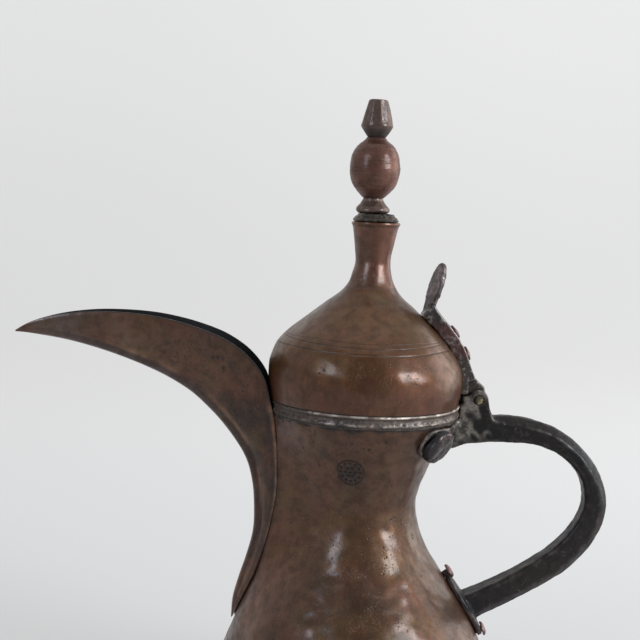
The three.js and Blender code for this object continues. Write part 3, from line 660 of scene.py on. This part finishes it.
def mark_depth(points):
    """1 at the bottom of each dot, by distance round the wall and up it."""
    turn = np.arctan2(points[..., 1], points[..., 0]) - math.atan2(MARK.y, MARK.x)
    along = turn * MARK_FROM_AXIS
    rise = points[..., 2] - MARK.z
    near = (points[..., 1] < 0) & (np.abs(rise) < 8)
    depth = np.zeros(points.shape[:-1])
    for across, up in mark_dots():
        depth = np.maximum(depth, groove(np.hypot(along - across, rise - up), MARK_DOT_WIDTH))
    rim = groove(np.hypot(along, rise) - MARK_RIM, 0.42)
    return np.where(near, np.maximum(depth, 0.8 * rim), 0)


def body_dents(points):
    """The soft unevenness of hammered sheet, in millimetres."""
    return 0.22 * waves(points, 24, 11) + 0.07 * waves(points, 9, 12)


def make_upper_body():
    heights = np.unique(np.r_[np.linspace(56, 179.5, 150), np.arange(142, 157.5, 0.26)])
    mark_angle = math.pi - abs(math.atan2(MARK.y, MARK.x))
    angles = np.unique(np.r_[
        np.linspace(-0.62, 0.62, 150), np.linspace(0.62, 1.2, 26), np.linspace(-1.2, -0.62, 26),
        np.linspace(1.2, TAU - 1.2, 130), np.arange(mark_angle - 0.24, mark_angle + 0.24, 0.0085),
    ].round(5))
    angles = angles[angles < TAU - 1.2 - 1e-4]
    z, angle = np.meshgrid(heights, angles, indexing="ij")
    wrapped = (angle + math.pi) % TAU - math.pi
    radius = snout_radius(z, wrapped)
    points = np.stack([-radius * np.cos(angle), -radius * np.sin(angle), z], axis=-1)
    edge = smoothstep(56, 62, z) * smoothstep(178, 172, z) * smoothstep(0.12, 0.45, np.abs(wrapped))
    push_out = body_dents(points) * edge - MARK_DEPTH * mark_depth(points)
    outside = grid("pot_shoulder", pushed_out(points, push_out))

    inner = shoulder_line[::2].copy()
    inner[:, 0] -= SHEET
    cavity = [[0, 50], [inner[0, 0] + 3, 50], *inner.tolist(), [inner[-1, 0], 185], [0, 185]]
    tools = [turned("cut_cavity", cavity, sides=128)]
    tools.append(grid("cut_channel", [channel_points(h) for h in np.linspace(78, 168, 40)]))
    bore = [[0, -4.5], [STRAINER_HOLE, -4.5], [STRAINER_HOLE, 4.5], [0, 4.5]]
    for row in range(STRAINER_ROWS):
        height = STRAINER_FOOT + row * STRAINER_PITCH
        for y in ((-2.6, 2.6) if row % 2 else (-5, 0, 5)):
            hole = turned("cut_hole", bore, sides=20)
            tools.append(aim(hole, (-float(shoulder_radius(height)) + 1, y, height), (1, 0, 0)))
    for tool in tools:
        weld(tool)
    weld(outside)
    cut(outside, tools)
    # Darker stamped dots, plus painted shade under the band, beside the seam and inside the pot.
    mark(outside, grime=lambda p: mark_depth(p) + body_painted_shade(p), pits=body_pits, tint=mark_shade)
    return outside


def mark_shade(points):
    """A darker patch round the stamped mark."""
    x, y, z = points.T
    return 0.9 * (y < 0) * groove(np.hypot(x - MARK.x, z - MARK.z), 6.5)


def body_painted_shade(points):
    """Painted shade under the mouth band, a painted shadow beside the spout's seam, and painted shade inside
    the pot.
    """
    x, _, z = points.T
    # Painted shade under the band's lower edge.
    under_band = 0.85 * smoothstep(171.2, 172.6, z + 0.5 * waves(points, 7, 21)) * (z < BAND_BOTTOM + 1)
    # Painted shadow beside the spout's raised seam lip.
    body_seam_shadow = 0.4 * groove(x - at_seam(z, 0) - 0.8, 0.9) * (x < -30)
    # Painted shade inside the pot.
    inside = 0.9 * (radius_of(points) < shoulder_radius(z) - 0.9)
    return np.maximum.reduce([under_band, body_seam_shadow, inside])


def body_pits(points):
    """Crowded pits: a ragged row under the band, the middle of the front, and round the mark."""
    x, y, z = points.T
    front = y < 0
    under_band = smoothstep(158, 166, z) * smoothstep(0.3, 1.3, waves(points, 15, 22))
    beside_mark = groove(np.hypot(x - MARK.x - 1, 1.2 * (z - MARK.z)), 8)
    beside_mark *= smoothstep(-0.6, 0.6, waves(points, 6, 23))
    blotch = groove(np.hypot(x - 2, z - 163), 4) + groove(np.hypot(x - 20, z - 163), 2.5)
    return front * np.maximum.reduce([1.3 * under_band, beside_mark, blotch])


def make_lower_body():
    outer = spline(BELLY, 70)
    inner = outer[::-1].copy()
    inner[:, 0] -= SHEET
    points = revolve_points([*outer, *inner], 200)
    z = points[..., 2]
    dents = body_dents(points) * smoothstep(4, 12, z) * smoothstep(55.9, 50, z)
    belly = grid("pot_belly_shell", pushed_out(points, dents), looped=True)

    def grime(p):
        # Darker along the joint with the shoulder, and painted shade inside the pot.
        inside = radius_of(p) < np.interp(p[:, 2], outer[:, 1], outer[:, 0]) - 0.9
        return np.maximum(0.8 * groove(p[:, 2] - 56, 0.5), 0.9 * inside)

    mark(belly, grime=grime)
    return belly


def make_base_plate():
    outline = [
        [0, 0.3], [20, 0.2], [52, 0.05], [57.8, 0], [59.4, 0.35], [60.6, 1.4], [61.3, 3.6], [61.65, 6.2],
        [61.5, 6.8], [61.1, 7.05], [60.7, 6.9], [60.5, 6.2], [60.2, 3.6], [60, 2.1], [58.4, 1.6], [0, 1.7],
    ]
    base = turned("pot_base", outline, sides=200)
    mark(base, grime=lambda p: 0.7 * smoothstep(1.2, 0.1, p[:, 2]) + 0.6 * groove(p[:, 2] - 7, 0.5))
    return base


def make_mouth_band():
    """A rolled lip at the top, a pitted groove, and a second, rougher ridge near the lower edge."""
    half_gap = math.asin(BAND_GAP / 47.4)
    face = spline([
        [46.1, 173.5], [47, 173.4], [47.2, 173.9], [47.15, 174.3], [47.5, 174.8], [47.55, 175.3], [47.3, 175.9],
        [47.1, 176.7], [47.05, 177.6], [47.1, 178.1], [47.5, 178.6], [47.75, 179.1], [47.7, 179.6],
        [47.3, 179.85], [46.7, 179.9], [46.1, 179.7],
    ], 46)
    points = revolve_points([*face, [46, 177]], 460, start=-math.pi + half_gap, sweep=TAU - 2 * half_gap)
    z = points[..., 2]
    droop = smoothstep(174.6, 173.6, z) * (0.16 * waves(points * [1, 1, 0.2], 9, 31) - 0.05)
    rough = 0.06 * waves(points, 3, 32) + 0.1 * waves(points, 16, 33)
    rough += 0.13 * waves(points, 2.2, 37) * groove(z - 175.2, 0.9)
    scale = 1 + (rough / 47)[..., None] * np.array([1, 1, 0])
    ring = points * scale + droop[..., None] * np.array([0, 0, 1])
    band = grid("mouth_band_tinned", np.swapaxes(ring, 0, 1))
    mark(band, grime=band_grime, wear=band_wear, tint=band_tint)
    return band


def band_grime(points):
    """Darker in the groove, painted shade at the band's lower edge and along its top edge under the lid, and
    dirt in blots on the lower ridge.
    """
    z = points[:, 2]
    return np.maximum.reduce([
        # Darker in the groove; painted shade at the lower edge and along the top edge, under the lid.
        0.6 * groove(z - 178, 0.35), 0.95 * groove(z - 174, 0.45), 0.9 * smoothstep(179.75, 179.9, z),
        0.85 * smoothstep(0.7, 1.6, waves(points, 2.6, 34)) * groove(z - 175.6, 1.4),
    ])


def band_wear(points):
    """The lip is rubbed bright at the front, and the lower ridge in patches."""
    x, _, z = points.T
    lip = smoothstep(178.6, 179.2, z) * (0.25 + 0.65 * smoothstep(-1.0, 0.6, waves(points, 9, 35)))
    lip *= 1 - 0.8 * smoothstep(0.9, 1.5, waves(points, 3, 39))
    ridge = 0.4 * groove(z - 175.2, 0.6) * smoothstep(-0.9, 0.8, waves(points, 5, 36))
    return np.maximum(lip, ridge) * smoothstep(-36, -18, x)


def band_tint(points):
    """Bare brown copper beside the spout."""
    x, y, _ = points.T
    return smoothstep(-14, -30, x + 4 * waves(points, 7, 38)) * (y < 0)


# ---- Spout ----
def spout_section(station, seam):
    """A folded sheet: bowed sides that meet a narrow keel at a crease. Runs outside, then back inside."""
    edge_x, edge_z, half, keel_x, keel_z = station
    up = np.array([edge_x - keel_x, edge_z - keel_z])
    height = np.linalg.norm(up)
    up /= height
    crease, keel = min(KEEL_HEIGHT, height * 0.4), min(3.0, half * 0.75)
    bow = min(1, half / 8)
    wall = min(1.3, half * 0.35)
    upper = spline([
        [half, height], [keel + (half - keel) * 0.86 + bow * 0.7, crease + (height - crease) * 0.82],
        [keel + (half - keel) * 0.68 + bow, crease + (height - crease) * 0.6],
        [keel + (half - keel) * 0.36 + bow, crease + (height - crease) * 0.27], [keel, crease],
    ], SIDE_STEPS)
    lower = spline([
        [keel, crease], [keel * 0.86, crease * 0.6], [keel * 0.6, crease * 0.24], [0, 0],
    ], KEEL_STEPS)
    side = np.vstack([upper, lower[1:]])
    lip = seam * groove(side[:, 1] - height + 0.7, 0.8)
    outer = side + lip[:, None] * np.array([0.7, 0])
    thicker = wall * np.clip(1.3 - side[:, 1] / (height * 0.5), 0, 1.3)
    rise = np.where(side[:, 1] > height - 0.5, 0, thicker)
    inner = np.stack([np.maximum(side[:, 0] - wall, 0.1 * (side[:, 0] > 0)), side[:, 1] + rise], axis=-1)
    mirror = np.array([-1, 1])
    loop = np.vstack([outer, outer[-2::-1] * mirror, inner * mirror, inner[-2::-1]])
    return np.stack([keel_x + up[0] * loop[:, 1], loop[:, 0], keel_z + up[1] * loop[:, 1]], axis=-1)


def make_spout():
    """The spout, near-black inside as painted shade. Columns of the grid run down the near side, up the far
    side, and back inside.
    """
    stations = spline(SPOUT, 210)
    travel = np.arange(len(stations))
    x, z = stations[:, 0], stations[:, 1]
    along_body = np.minimum(np.interp(z, [60, 176, 182], [1, 1, 0]) * (x > -52) + (z < 90), 1)
    rings = np.array([spout_section(s, a) for s, a in zip(stations, along_body)])
    fade = smoothstep(200, 170, travel)[:, None]
    dents = (0.1 * waves(rings, 17, 41) + 0.05 * waves(rings, 6, 42)) * fade
    rings[..., 1] += dents * np.sign(rings[..., 1]) * smoothstep(1, 3, np.abs(rings[..., 1]))
    spout = grid("spout_sheet", rings)
    count = rings.shape[1]
    outside = count // 2
    spout.data.materials.append(spout_finish.material)
    spout.data.materials.append(inner_finish.material)
    for polygon in spout.data.polygons:
        column = min(v % count for v in polygon.vertices)
        wraps = max(v % count for v in polygon.vertices) - column > 2
        polygon.material_index = int(outside <= column and not wraps and len(polygon.vertices) == 4)
    mark_spout(spout, rings, along_body)
    return spout


def mark_spout(spout, rings, along_body):
    """A grey keel that is a painted reflection of the bluish left light, a painted highlight along the crease
    with painted shade under it, a painted highlight on the seam lip with painted shadow beside it, painted
    shade along the rim, and two crowds of pits.
    """
    rows, count = rings.shape[:2]
    crease_steps = KEEL_STEPS - 1
    keel_column = SIDE_STEPS - 1 + crease_steps
    column = np.tile(np.arange(count), rows)
    seam = np.repeat(along_body, count)
    from_keel = np.abs(column - keel_column)
    outside = from_keel <= keel_column
    from_edge = keel_column - from_keel
    points = rings.reshape(-1, 3)
    x, _, z = points.T
    body_of_sheet = smoothstep(-172, -140, x)
    wander = waves(points, 26, 43)
    # The grey keel strip is a painted reflection of the bluish left light.
    grey = body_of_sheet * np.interp(z, [150, 184], [0.15, 1])
    store(spout, "tint", outside * smoothstep(crease_steps + 1, crease_steps - 1, from_keel) * grey)
    # Painted highlight along the crease, where its edge catches the light.
    crease_highlight = 0.4 * groove(from_keel - crease_steps - 1, 1.3) * smoothstep(-1.2, 0.8, wander)
    crease_highlight *= smoothstep(-150, -110, x)
    # Painted highlights along the crease and on the raised seam lip.
    store(spout, "wear", outside * np.maximum(crease_highlight, 0.5 * seam * groove(from_edge - 0.8, 1.1)))
    # Painted shadow beside the seam lip, and painted shade under the crease.
    seam_lip_shadow = outside * 0.5 * seam * groove(from_edge - 4, 1.4)
    crease_shade = outside * 0.3 * groove(from_keel - crease_steps + 1, 0.9)
    # Painted shade along the rim's edges.
    rim_columns = (0, keel_column * 2, keel_column * 2 + 1, count - 1)
    rim = 0.95 * np.isin(column, rim_columns) * smoothstep(0.8, 0.2, seam)
    store(spout, "grime", np.maximum.reduce([seam_lip_shadow, crease_shade, rim]))
    middle = groove((x + 84) / 17, 1) * groove((z - 199 + 0.18 * (x + 84)) / 6.5, 1)
    low = groove((x + 62) / 8, 1) * groove((z - 172) / 8, 1)
    crowds = np.maximum(2 * middle, 1.5 * low) * smoothstep(-1.6, 0, waves(points, 7, 44))
    store(spout, "pits", outside * crowds)


# ---- Handle ----
def handle_section(station):
    """The grip's section: flat inside, with a rounded back."""
    outer_x, outer_z, inner_x, inner_z, half = station
    across = np.array([outer_x - inner_x, outer_z - inner_z])
    thick = np.linalg.norm(across)
    across /= thick
    corners = [
        [0, half - 2.2], [0.6, half - 0.8], [2.2, half], [thick - 3.8, half + 0.1], [thick - 0.5, half - 3.2],
        [thick, half - 4.2],
    ]
    loop = [*corners, *[[u, -y] for u, y in reversed(corners)]]
    return [[inner_x + across[0] * u, y, inner_z + across[1] * u] for u, y in loop]


def copy_node(name, new_name):
    """A copy of a CAD node's mesh to work on."""
    obj = add_object(new_name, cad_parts[name].data.copy())
    obj.data.materials.clear()
    weld(obj, 0.001)
    return obj


def join(objects, name):
    """All the objects' meshes in one object."""
    points, faces = [], []
    for obj in objects:
        start = len(points)
        points += vertices(obj).tolist()
        faces += [tuple(start + v for v in p.vertices) for p in obj.data.polygons]
        bpy.data.objects.remove(obj)
    return make_object(name, points, faces)


def cast(obj, voxel, smoothing, rough, melted=None):
    """Turns hard-edged solids into one soft, uneven casting, and melts its corners between two heights."""
    apply_modifier(obj, "REMESH", mode="VOXEL", voxel_size=voxel * MM)
    apply_modifier(obj, "SMOOTH", factor=0.5, iterations=smoothing)
    if melted:
        z = vertices(obj)[:, 2]
        group = obj.vertex_groups.new(name="melted")
        group.add(np.flatnonzero((z > melted[0]) & (z < melted[1])).tolist(), 1.0, "REPLACE")
        apply_modifier(obj, "SMOOTH", factor=0.5, iterations=30, vertex_group="melted")
    push(obj, lambda p: rough * (waves(p, 11, 51) + 0.5 * waves(p, 4.4, 52) + 0.2 * waves(p, 2, 53)))


def weather(obj, rubbed, dark_above=math.inf):
    """Rubbed edges and high spots, and dirt in the hollows. Edges above a height are dark instead."""
    high = standing_out(obj, 10)
    points = vertices(obj)
    edges = smoothstep(0.1, 0.42, high)
    dark = points[:, 2] > dark_above
    store(obj, "wear", np.where(dark, 0.06, rubbed) * edges * smoothstep(-1.2, 0.8, waves(points, 9, 61)))
    hollows = 0.85 * smoothstep(-0.04, -0.3, high) + 0.25 * smoothstep(0.4, 1.5, waves(points, 4, 62))
    dark_edges = 0.75 * dark * smoothstep(0.03, 0.2, high) * smoothstep(-1.4, 0.2, waves(points, 6, 64))
    store(obj, "grime", np.maximum(hollows, dark_edges))


def make_handle():
    bar = grid("handle_bar", [handle_section(s) for s in spline(HANDLE, 150)])
    weld(bar)
    handle = join([copy_node("handle", "handle_block"), bar], "handle_cast")
    cast(handle, 0.62, 7, 0.07)
    weather(handle, 0.3)
    mark(handle, tint=hinge_block_tin)
    return handle


def hinge_block_tin(points):
    """Grey-white solder left on the hinge block and the saddle, on the side next to the pot."""
    x, y, z = points.T
    ragged = 3 * waves(points, 8, 63)
    on_block = smoothstep(60, 52, x + ragged) * smoothstep(156, 162, z + ragged)
    on_saddle = smoothstep(165, 169, z + 0.3 * ragged) * smoothstep(32, 37, x) * (np.abs(y) > 7)
    return np.maximum(on_block, 0.8 * on_saddle)


def block(name, x_limits, y_limits, z_limits):
    """A plain block to join to a casting."""
    (x0, x1), (y0, y1) = x_limits, y_limits
    return grid(name, [[[x0, y0, z], [x1, y0, z], [x1, y1, z], [x0, y1, z]] for z in z_limits])


def make_strap():
    pad = block("strap_pad", (47.9, 51.5), (-5.3, 5.3), (185.3, 191))
    strap = join([copy_node("lid_strap", "strap_node"), pad], "strap_cast")
    cast(strap, 0.45, 6, 0.09, melted=(221, 233))
    weather(strap, 0.28, dark_above=229)
    return strap


def rivet(name, head, height, low, seat):
    """A hand-hammered rivet made along +Z: a low bump whose edge feathers out at the seat."""
    bump = [[head * math.sin(a), seat + height * (math.cos(a) ** 0.8)] for a in np.linspace(1.5, 0.08, 14)]
    shank = [[0, low], [RIVET_SHANK, low], [RIVET_SHANK, seat - 0.3]]
    obj = turned(name, [*shank, [head, seat - 0.3], *bump, [0, seat + height]], sides=48)
    push(obj, lambda p: 0.11 * waves(p + head, 4.4, 71) * (p[:, 2] > seat + 0.2))
    mark(obj, grime=lambda p: 0.7 * smoothstep(seat + 0.45, seat, p[:, 2]))
    return obj


def make_boss(name, side):
    """A thick round boss on the saddle, with painted shade round its edge and a painted highlight on its edge
    on the side towards the handle, where the light falls.
    """
    outline = [
        [0, -3.4], [3.6, -3.4], [3.6, -1.9], [2.5, -1.9], [2.5, 2.9], [8.5, 2.9], [BOSS_RADIUS, 3.2],
        [BOSS_RADIUS, 5.9], [8.5, 6.35], [7.1, 7.2], [6.6, 7.35], [3, 7.45], [0, 7.4],
    ]
    boss = turned(name, divided(outline, 5), sides=72)
    push(boss, lambda p: (0.13 * waves(p, 6, 72) + 0.05 * waves(p, 2, 73)) * (p[:, 2] > 2.8))
    # Painted shade round the boss's sides and edge.
    mark(boss, grime=lambda p: smoothstep(6.2, 4.8, p[:, 2]))
    aim(boss, *shoulder_frame(BOSS_Z, side * BOSS_ANGLE))
    centre = vertices(boss).mean(axis=0)
    high = standing_out(boss, 4)
    # Painted highlight on the edge towards the handle, on the right, where the light falls.
    mark(boss, wear=lambda p: 0.8 * smoothstep(0.08, 0.3, high) * smoothstep(-1, 2, p[:, 0] - centre[0]))
    return boss


def make_hinge_pin():
    outline = [
        [0, -7.3], [1.4, -7.2], [1.95, -7], [2.15, -6.7], [2.1, -6.2], [2.1, 6.2], [2.15, 6.7], [1.95, 7],
        [1.4, 7.2], [0, 7.3],
    ]
    pin = turned("hinge_pin_brass", outline, sides=40)
    push(pin, lambda p: 0.06 * waves(p, 2.4, 74))
    mark(pin, grime=lambda p: 0.9 * smoothstep(-0.9, 0.2, waves(p, 3.4, 76)))
    return aim(pin, HINGE, (0, 1, 0))


# ---- Lid ----
def lean(points):
    """Shifts a piece of the lid as far off its axis as the hand-raised lid leans at that height."""
    moved = points.copy()
    moved[..., 0] += table_value(LID_SHIFT, points[..., 2])
    return moved


def ring_depth(points):
    """The three incised rings, which wander a little round the dome."""
    angle = np.arctan2(points[..., 1], points[..., 0])
    z = points[..., 2]
    wander = 0.35 * np.sin(2 * angle + 0.4) + 0.2 * np.sin(5 * angle)
    near = groove(z - 212.9 - wander, 0.2)
    middle = groove(z - 211.3 - 0.7 * np.sin(2 * angle + 1.3), 0.26)
    low = groove(z - 208.3 - 0.5 * np.sin(angle * 2 + 0.9) - 0.15 * np.sin(7 * angle), 0.3)
    return np.maximum.reduce([0.6 * near, 0.8 * middle, 0.9 * low])


def make_lid_dome():
    outer = spline(DOME, 260)
    near_rings = (outer[:, 1] > 206.4) & (outer[:, 1] < 215)
    fine = spline(outer[near_rings], 110)
    first, last = np.flatnonzero(near_rings)[[0, -1]]
    outer = np.vstack([outer[:first:3], fine, outer[last + 1::3]])
    outer[-1] = DOME[-1]
    inner = outer[::-6].copy()
    inner[:, 0] -= SHEET
    inner[:, 1] -= 0.6 * (inner[:, 1] > 205)
    points = revolve_points([*outer, *inner], 240)
    skin = np.arange(len(points)) < len(outer)
    dents = 0.16 * waves(points, 21, 81) + 0.05 * waves(points, 8, 82)
    dents *= smoothstep(181, 186, points[..., 2]) * smoothstep(236, 228, points[..., 2])
    radial = (dents - 0.2 * ring_depth(points)) * skin[:, None]
    dome = grid("lid_dome_copper", lean(pushed_out(points, radial)), looped=True)
    mark(dome, grime=dome_grime)
    return dome


def dome_grime(points):
    """Dirt in the incised rings, painted shade at the dome's foot where it sits on the band, and painted shade
    all over its inside.
    """
    x, y, z = points.T
    line = spline(DOME, 120)
    inside = np.hypot(x - table_value(LID_SHIFT, z), y) < np.interp(z, line[:, 1], line[:, 0]) - 0.8
    # Painted shade at the foot and inside; the rings are darker with dirt.
    return np.maximum.reduce([0.6 * ring_depth(points), 0.6 * groove(z - 180, 0.5), 0.85 * inside])


def make_lid_neck():
    outer = spline(NECK, 90)
    lip = [[11.75, 267.6], [12.05, 268], [12.15, 268.5], [12, 269], [11.6, 269.25], [10.6, 269.2]]
    inner = outer[::-3].copy()
    inner[:, 0] -= SHEET
    points = revolve_points([*outer, *lip, *inner], 120)
    dents = 0.07 * waves(points, 9, 83) * smoothstep(236.6, 240, points[..., 2])
    neck = grid("lid_neck_copper", lean(pushed_out(points, dents)), looped=True)
    mark(neck, grime=lambda p: 0.5 * groove(p[:, 2] - 267.3, 0.35) + 0.35 * groove(p[:, 2] - 236.5, 0.4))
    return neck


def make_collar():
    outline = [
        [41.8, 174], [42.4, 173.9], [42.9, 174.2], [43.2, 183], [45.6, 183.2], [45.9, 184.4], [41.8, 184.4],
        [41.8, 174],
    ]
    return turned("lid_collar_tinned", outline, sides=160)


def make_neck_cap():
    outline = [
        [0, 269.5], [10.8, 269.5], [11.2, 269.9], [11.3, 270.4], [10.4, 271.4], [9.5, 272.1], [9.2, 272.7],
        [8.9, 273.3], [0, 273.4],
    ]
    cap = turned("neck_cap_rough", divided(outline, 4), sides=90, shift=1.4)
    push(cap, lambda p: 0.16 * waves(p, 5, 84) + 0.08 * waves(p, 1.8, 85))
    mark(cap, grime=lambda p: 0.8 * smoothstep(0.0, 1.2, waves(p, 3, 86)))
    return cap


def make_bead():
    line = spline([
        [7.4, 273.8], [8.3, 274.6], [8.4, 275.3], [7.8, 276.6], [6.4, 278.2], [5.3, 279.6], [4.9, 280.8],
    ], 30)
    outline = [[0, 273.6], [6.8, 273.6], *line.tolist(), [0, 280.9]]
    bead = turned("finial_bead_turned", outline, sides=72, shift=-0.4)
    push(bead, lambda p: 0.09 * waves(p, 4, 87))
    mark(bead, grime=lambda p: 0.7 * groove(p[:, 2] - 273.8, 0.6))
    return bead


def make_ball():
    line = spline([
        [4.9, 280.9], [5.3, 281.3], [6.7, 282.6], [8.1, 284.1], [10.4, 287], [11.7, 290], [12.3, 292.9],
        [12.5, 296], [12.2, 298.9], [11.7, 301.6], [10.4, 304.6], [9.5, 306], [8, 307.6], [5.9, 309.2],
        [4.6, 310.8],
    ], 130)
    outline = [[0, 280.9], *line.tolist(), [0, 310.8]]
    ball = turned("finial_ball_turned", outline, sides=120, shift=-0.2)
    push(ball, lambda p: 0.03 * waves(p * [0.05, 0.05, 1], 1.1, 88) + 0.05 * waves(p, 8, 89))
    # Darker at the ball's foot; painted shade at its top, in the narrow neck under the cap.
    mark(ball, grime=lambda p: 0.5 * smoothstep(283.5, 281, p[:, 2]) + 0.5 * smoothstep(309.5, 310.8, p[:, 2]))
    return ball


def make_cap():
    line = divided([
        [4.5, 310.9], [5.2, 311.7], [7.6, 315.5], [7.95, 316.2], [7.9, 316.9], [7.5, 318.4], [5, 327.9],
        [4.7, 328.8], [4.1, 329.2], [2, 329.2],
    ], 6)
    cap = turned("finial_cap_turned", [[0, 310.9], *line[:-1], [0, 329.2]], sides=96)
    points = vertices(cap)
    angle = np.arctan2(points[:, 1], points[:, 0])
    flats = 0.14 * np.cos(9 * angle) * smoothstep(317, 320, points[:, 2]) * smoothstep(329.2, 327, points[:, 2])
    push(cap, lambda p: flats + 0.05 * waves(p, 5, 90))
    # Painted shade on the cap's underside, below its widest point.
    mark(cap, grime=lambda p: 0.75 * smoothstep(316, 313, p[:, 2]))
    return cap


def make_rod():
    outline = [
        [0, 263.3], [1.6, 263.35], [2.4, 263.7], [2.6, 264.4], [2.6, 265.2], [1.6, 265.3], [1.6, 325.5],
        [0, 325.5],
    ]
    return turned("finial_rod_end", outline, sides=32)


def make_washer():
    outline = [[1.9, 265.6], [6.3, 265.6], [6.5, 265.8], [6.5, 267], [6.3, 267.2], [1.9, 267.2], [1.9, 265.6]]
    return turned("rod_washer_disc", outline, sides=64)


def finish_all(body, pieces):
    """Makes pieces given as (maker, node, finish), and the angle of a sharp edge where it isn't SHARP_EDGE."""
    for maker, node, finish, *sharp in pieces:
        finish_piece(maker(), body, node, finish, *sharp)


finish_all("pot", [
    (make_upper_body, "upper_body", body_finish, 50),
    (make_lower_body, "lower_body", body_finish),
    (make_base_plate, "base_plate", body_finish),
    (make_mouth_band, "mouth_band", tin_finish, 60),
    (make_spout, "spout", spout_finish, 50),
    (make_handle, "handle", cast_finish, 180),
])
for suffix, side in (("left", 1), ("right", -1)):
    finish_piece(make_boss(f"saddle_boss_{suffix}", side), "pot", f"saddle_rivet_{suffix}", boss_finish)
for suffix, height in zip(("lower", "upper"), FOOT_RIVETS):
    foot = rivet(f"foot_rivet_head_{suffix}", head=3.6, height=1.7, low=-3, seat=3.3)
    finish_piece(aim(foot, *shoulder_frame(height, 0)), "pot", f"foot_rivet_{suffix}", rivet_finish)
finish_piece(make_hinge_pin(), "pot", "hinge_pin", brass_finish)

finish_all("lid", [
    (make_lid_dome, "lid_dome", dome_finish),
    (make_lid_neck, "lid_neck", neck_finish),
    (make_collar, "lid_collar", tin_finish),
    (make_neck_cap, "neck_cap", rough_finish),
    (make_bead, "finial_bead", grey_finish),
    (make_ball, "finial_ball", ball_finish),
    (make_cap, "finial_cap", grey_finish),
    (make_rod, "finial_rod", rivet_finish),
    (make_washer, "rod_washer", body_finish),
    (make_strap, "lid_strap", strap_finish, 180),
])
for suffix, (point, out) in zip(("lower", "upper"), STRAP_RIVETS):
    head = rivet(f"strap_rivet_head_{suffix}", head=3.7, height=1.1, low=-9, seat=0.4)
    finish_piece(aim(head, point, out), "lid", f"strap_rivet_{suffix}", rivet_finish)


# ---- Studio ----
ROOM_FLOOR, ROOM_CURVE, ROOM_TOP = 1500, 800, 2600
ROOM_GREY = 0.3
ROOM_BACK_GLOW = 0.55
ROOM_FRONT_GLOW = 0.06
WORLD_GLOW = 0.25
CAMERA_PLACE = Vector((-24.182, -598, 283))
CAMERA_PITCH, CAMERA_ROLL = math.radians(6.0874), math.radians(2.41665)


def make_studio():
    """A pale floor that curves up into a round wall and glows, with painted light: darker in front of the pot
    and brighter to its right.
    """
    cove = [[ROOM_FLOOR + ROOM_CURVE * math.sin(a), ROOM_CURVE - ROOM_CURVE * math.cos(a)]
            for a in np.linspace(0, math.pi / 2, 24)]
    points = revolve_points([[1, 0], *cove, [ROOM_FLOOR + ROOM_CURVE, ROOM_TOP]], 96)
    room = grid("studio_sweep", points)
    room.data.polygons.foreach_set("use_smooth", [True] * len(room.data.polygons))
    paper = Finish("studio_glowing_paper", None)
    set_inputs(paper.shader, {
        "Base Color": (ROOM_GREY, ROOM_GREY, ROOM_GREY, 1.0), "Roughness": 0.9, "Specular IOR Level": 0.1,
        "Emission Color": (1.0, 0.993, 0.99, 1.0),
    })
    # Painted light: the glow is darker in front of the pot, brighter behind it and to its right, and darker
    # towards the floor.
    glow = paper.ramp(paper.y, -1600, 900, ROOM_FRONT_GLOW, ROOM_BACK_GLOW)
    upward = paper.ramp(paper.z, 0, 800, 0.885, 1.02)
    shade = paper.times(upward, paper.ramp(paper.x, -700, 700, 0.95, 1.07))
    paper.feed(paper.shader.inputs["Emission Strength"], paper.times(glow, shade))
    room.data.materials.append(paper.material)


def soft_light(name, azimuth, elevation, distance, width, height, power, tint):
    """A soft box that faces the pot from an azimuth and elevation in degrees and a distance in metres."""
    light = bpy.data.lights.new(name, "AREA")
    light.shape = "RECTANGLE"
    light.size, light.size_y = width, height
    light.energy = power
    light.color = tint
    obj = add_object(name, light)
    a, e = math.radians(azimuth), math.radians(elevation)
    out = Vector((math.sin(a) * math.cos(e), -math.cos(a) * math.cos(e), math.sin(e)))
    obj.location = Vector((0, 0, 0.2)) + out * distance
    obj.rotation_mode = "QUATERNION"
    obj.rotation_quaternion = (-out).to_track_quat("-Z", "Y")
    obj.visible_camera = False


make_studio()
soft_light("window_right", 58, 20, 1.5, 0.6, 0.8, 20, (0.82, 0.92, 1.0))
soft_light("window_left", -44, 24, 1.5, 0.42, 0.7, 6, (0.66, 0.8, 1.0))
soft_light("wall_right", 112, 12, 1.4, 0.9, 1.2, 7, (1.0, 0.99, 0.98))
soft_light("ceiling", 10, 80, 1.9, 1.6, 1.6, 3.5, (1.0, 0.99, 0.98))

world = bpy.data.worlds.new("room_light")
bpy.context.scene.world = world
world.use_nodes = True
background = next(n for n in world.node_tree.nodes if n.type == "BACKGROUND")
set_inputs(background, {"Color": (0.92, 0.95, 1.0, 1.0), "Strength": WORLD_GLOW})

camera = bpy.data.cameras.new("photo_camera")
camera.sensor_width = 36.0
camera.lens = 67.5
camera.clip_start = 0.01
eye = add_object("photo_camera", camera)
forward = Vector((0, math.cos(CAMERA_PITCH), -math.sin(CAMERA_PITCH)))
level_up = Vector((0, math.sin(CAMERA_PITCH), math.cos(CAMERA_PITCH)))
level_right = Vector((1, 0, 0))
right = math.cos(CAMERA_ROLL) * level_right + math.sin(CAMERA_ROLL) * level_up
up = -math.sin(CAMERA_ROLL) * level_right + math.cos(CAMERA_ROLL) * level_up
turn = Matrix((right, up, -forward)).transposed().to_4x4()
eye.matrix_world = Matrix.Translation(CAMERA_PLACE * MM) @ turn
bpy.context.scene.camera = eye

bpy.context.scene.view_settings.view_transform = "Standard"
bpy.context.scene.view_settings.look = "None"

bpy.context.view_layer.update()
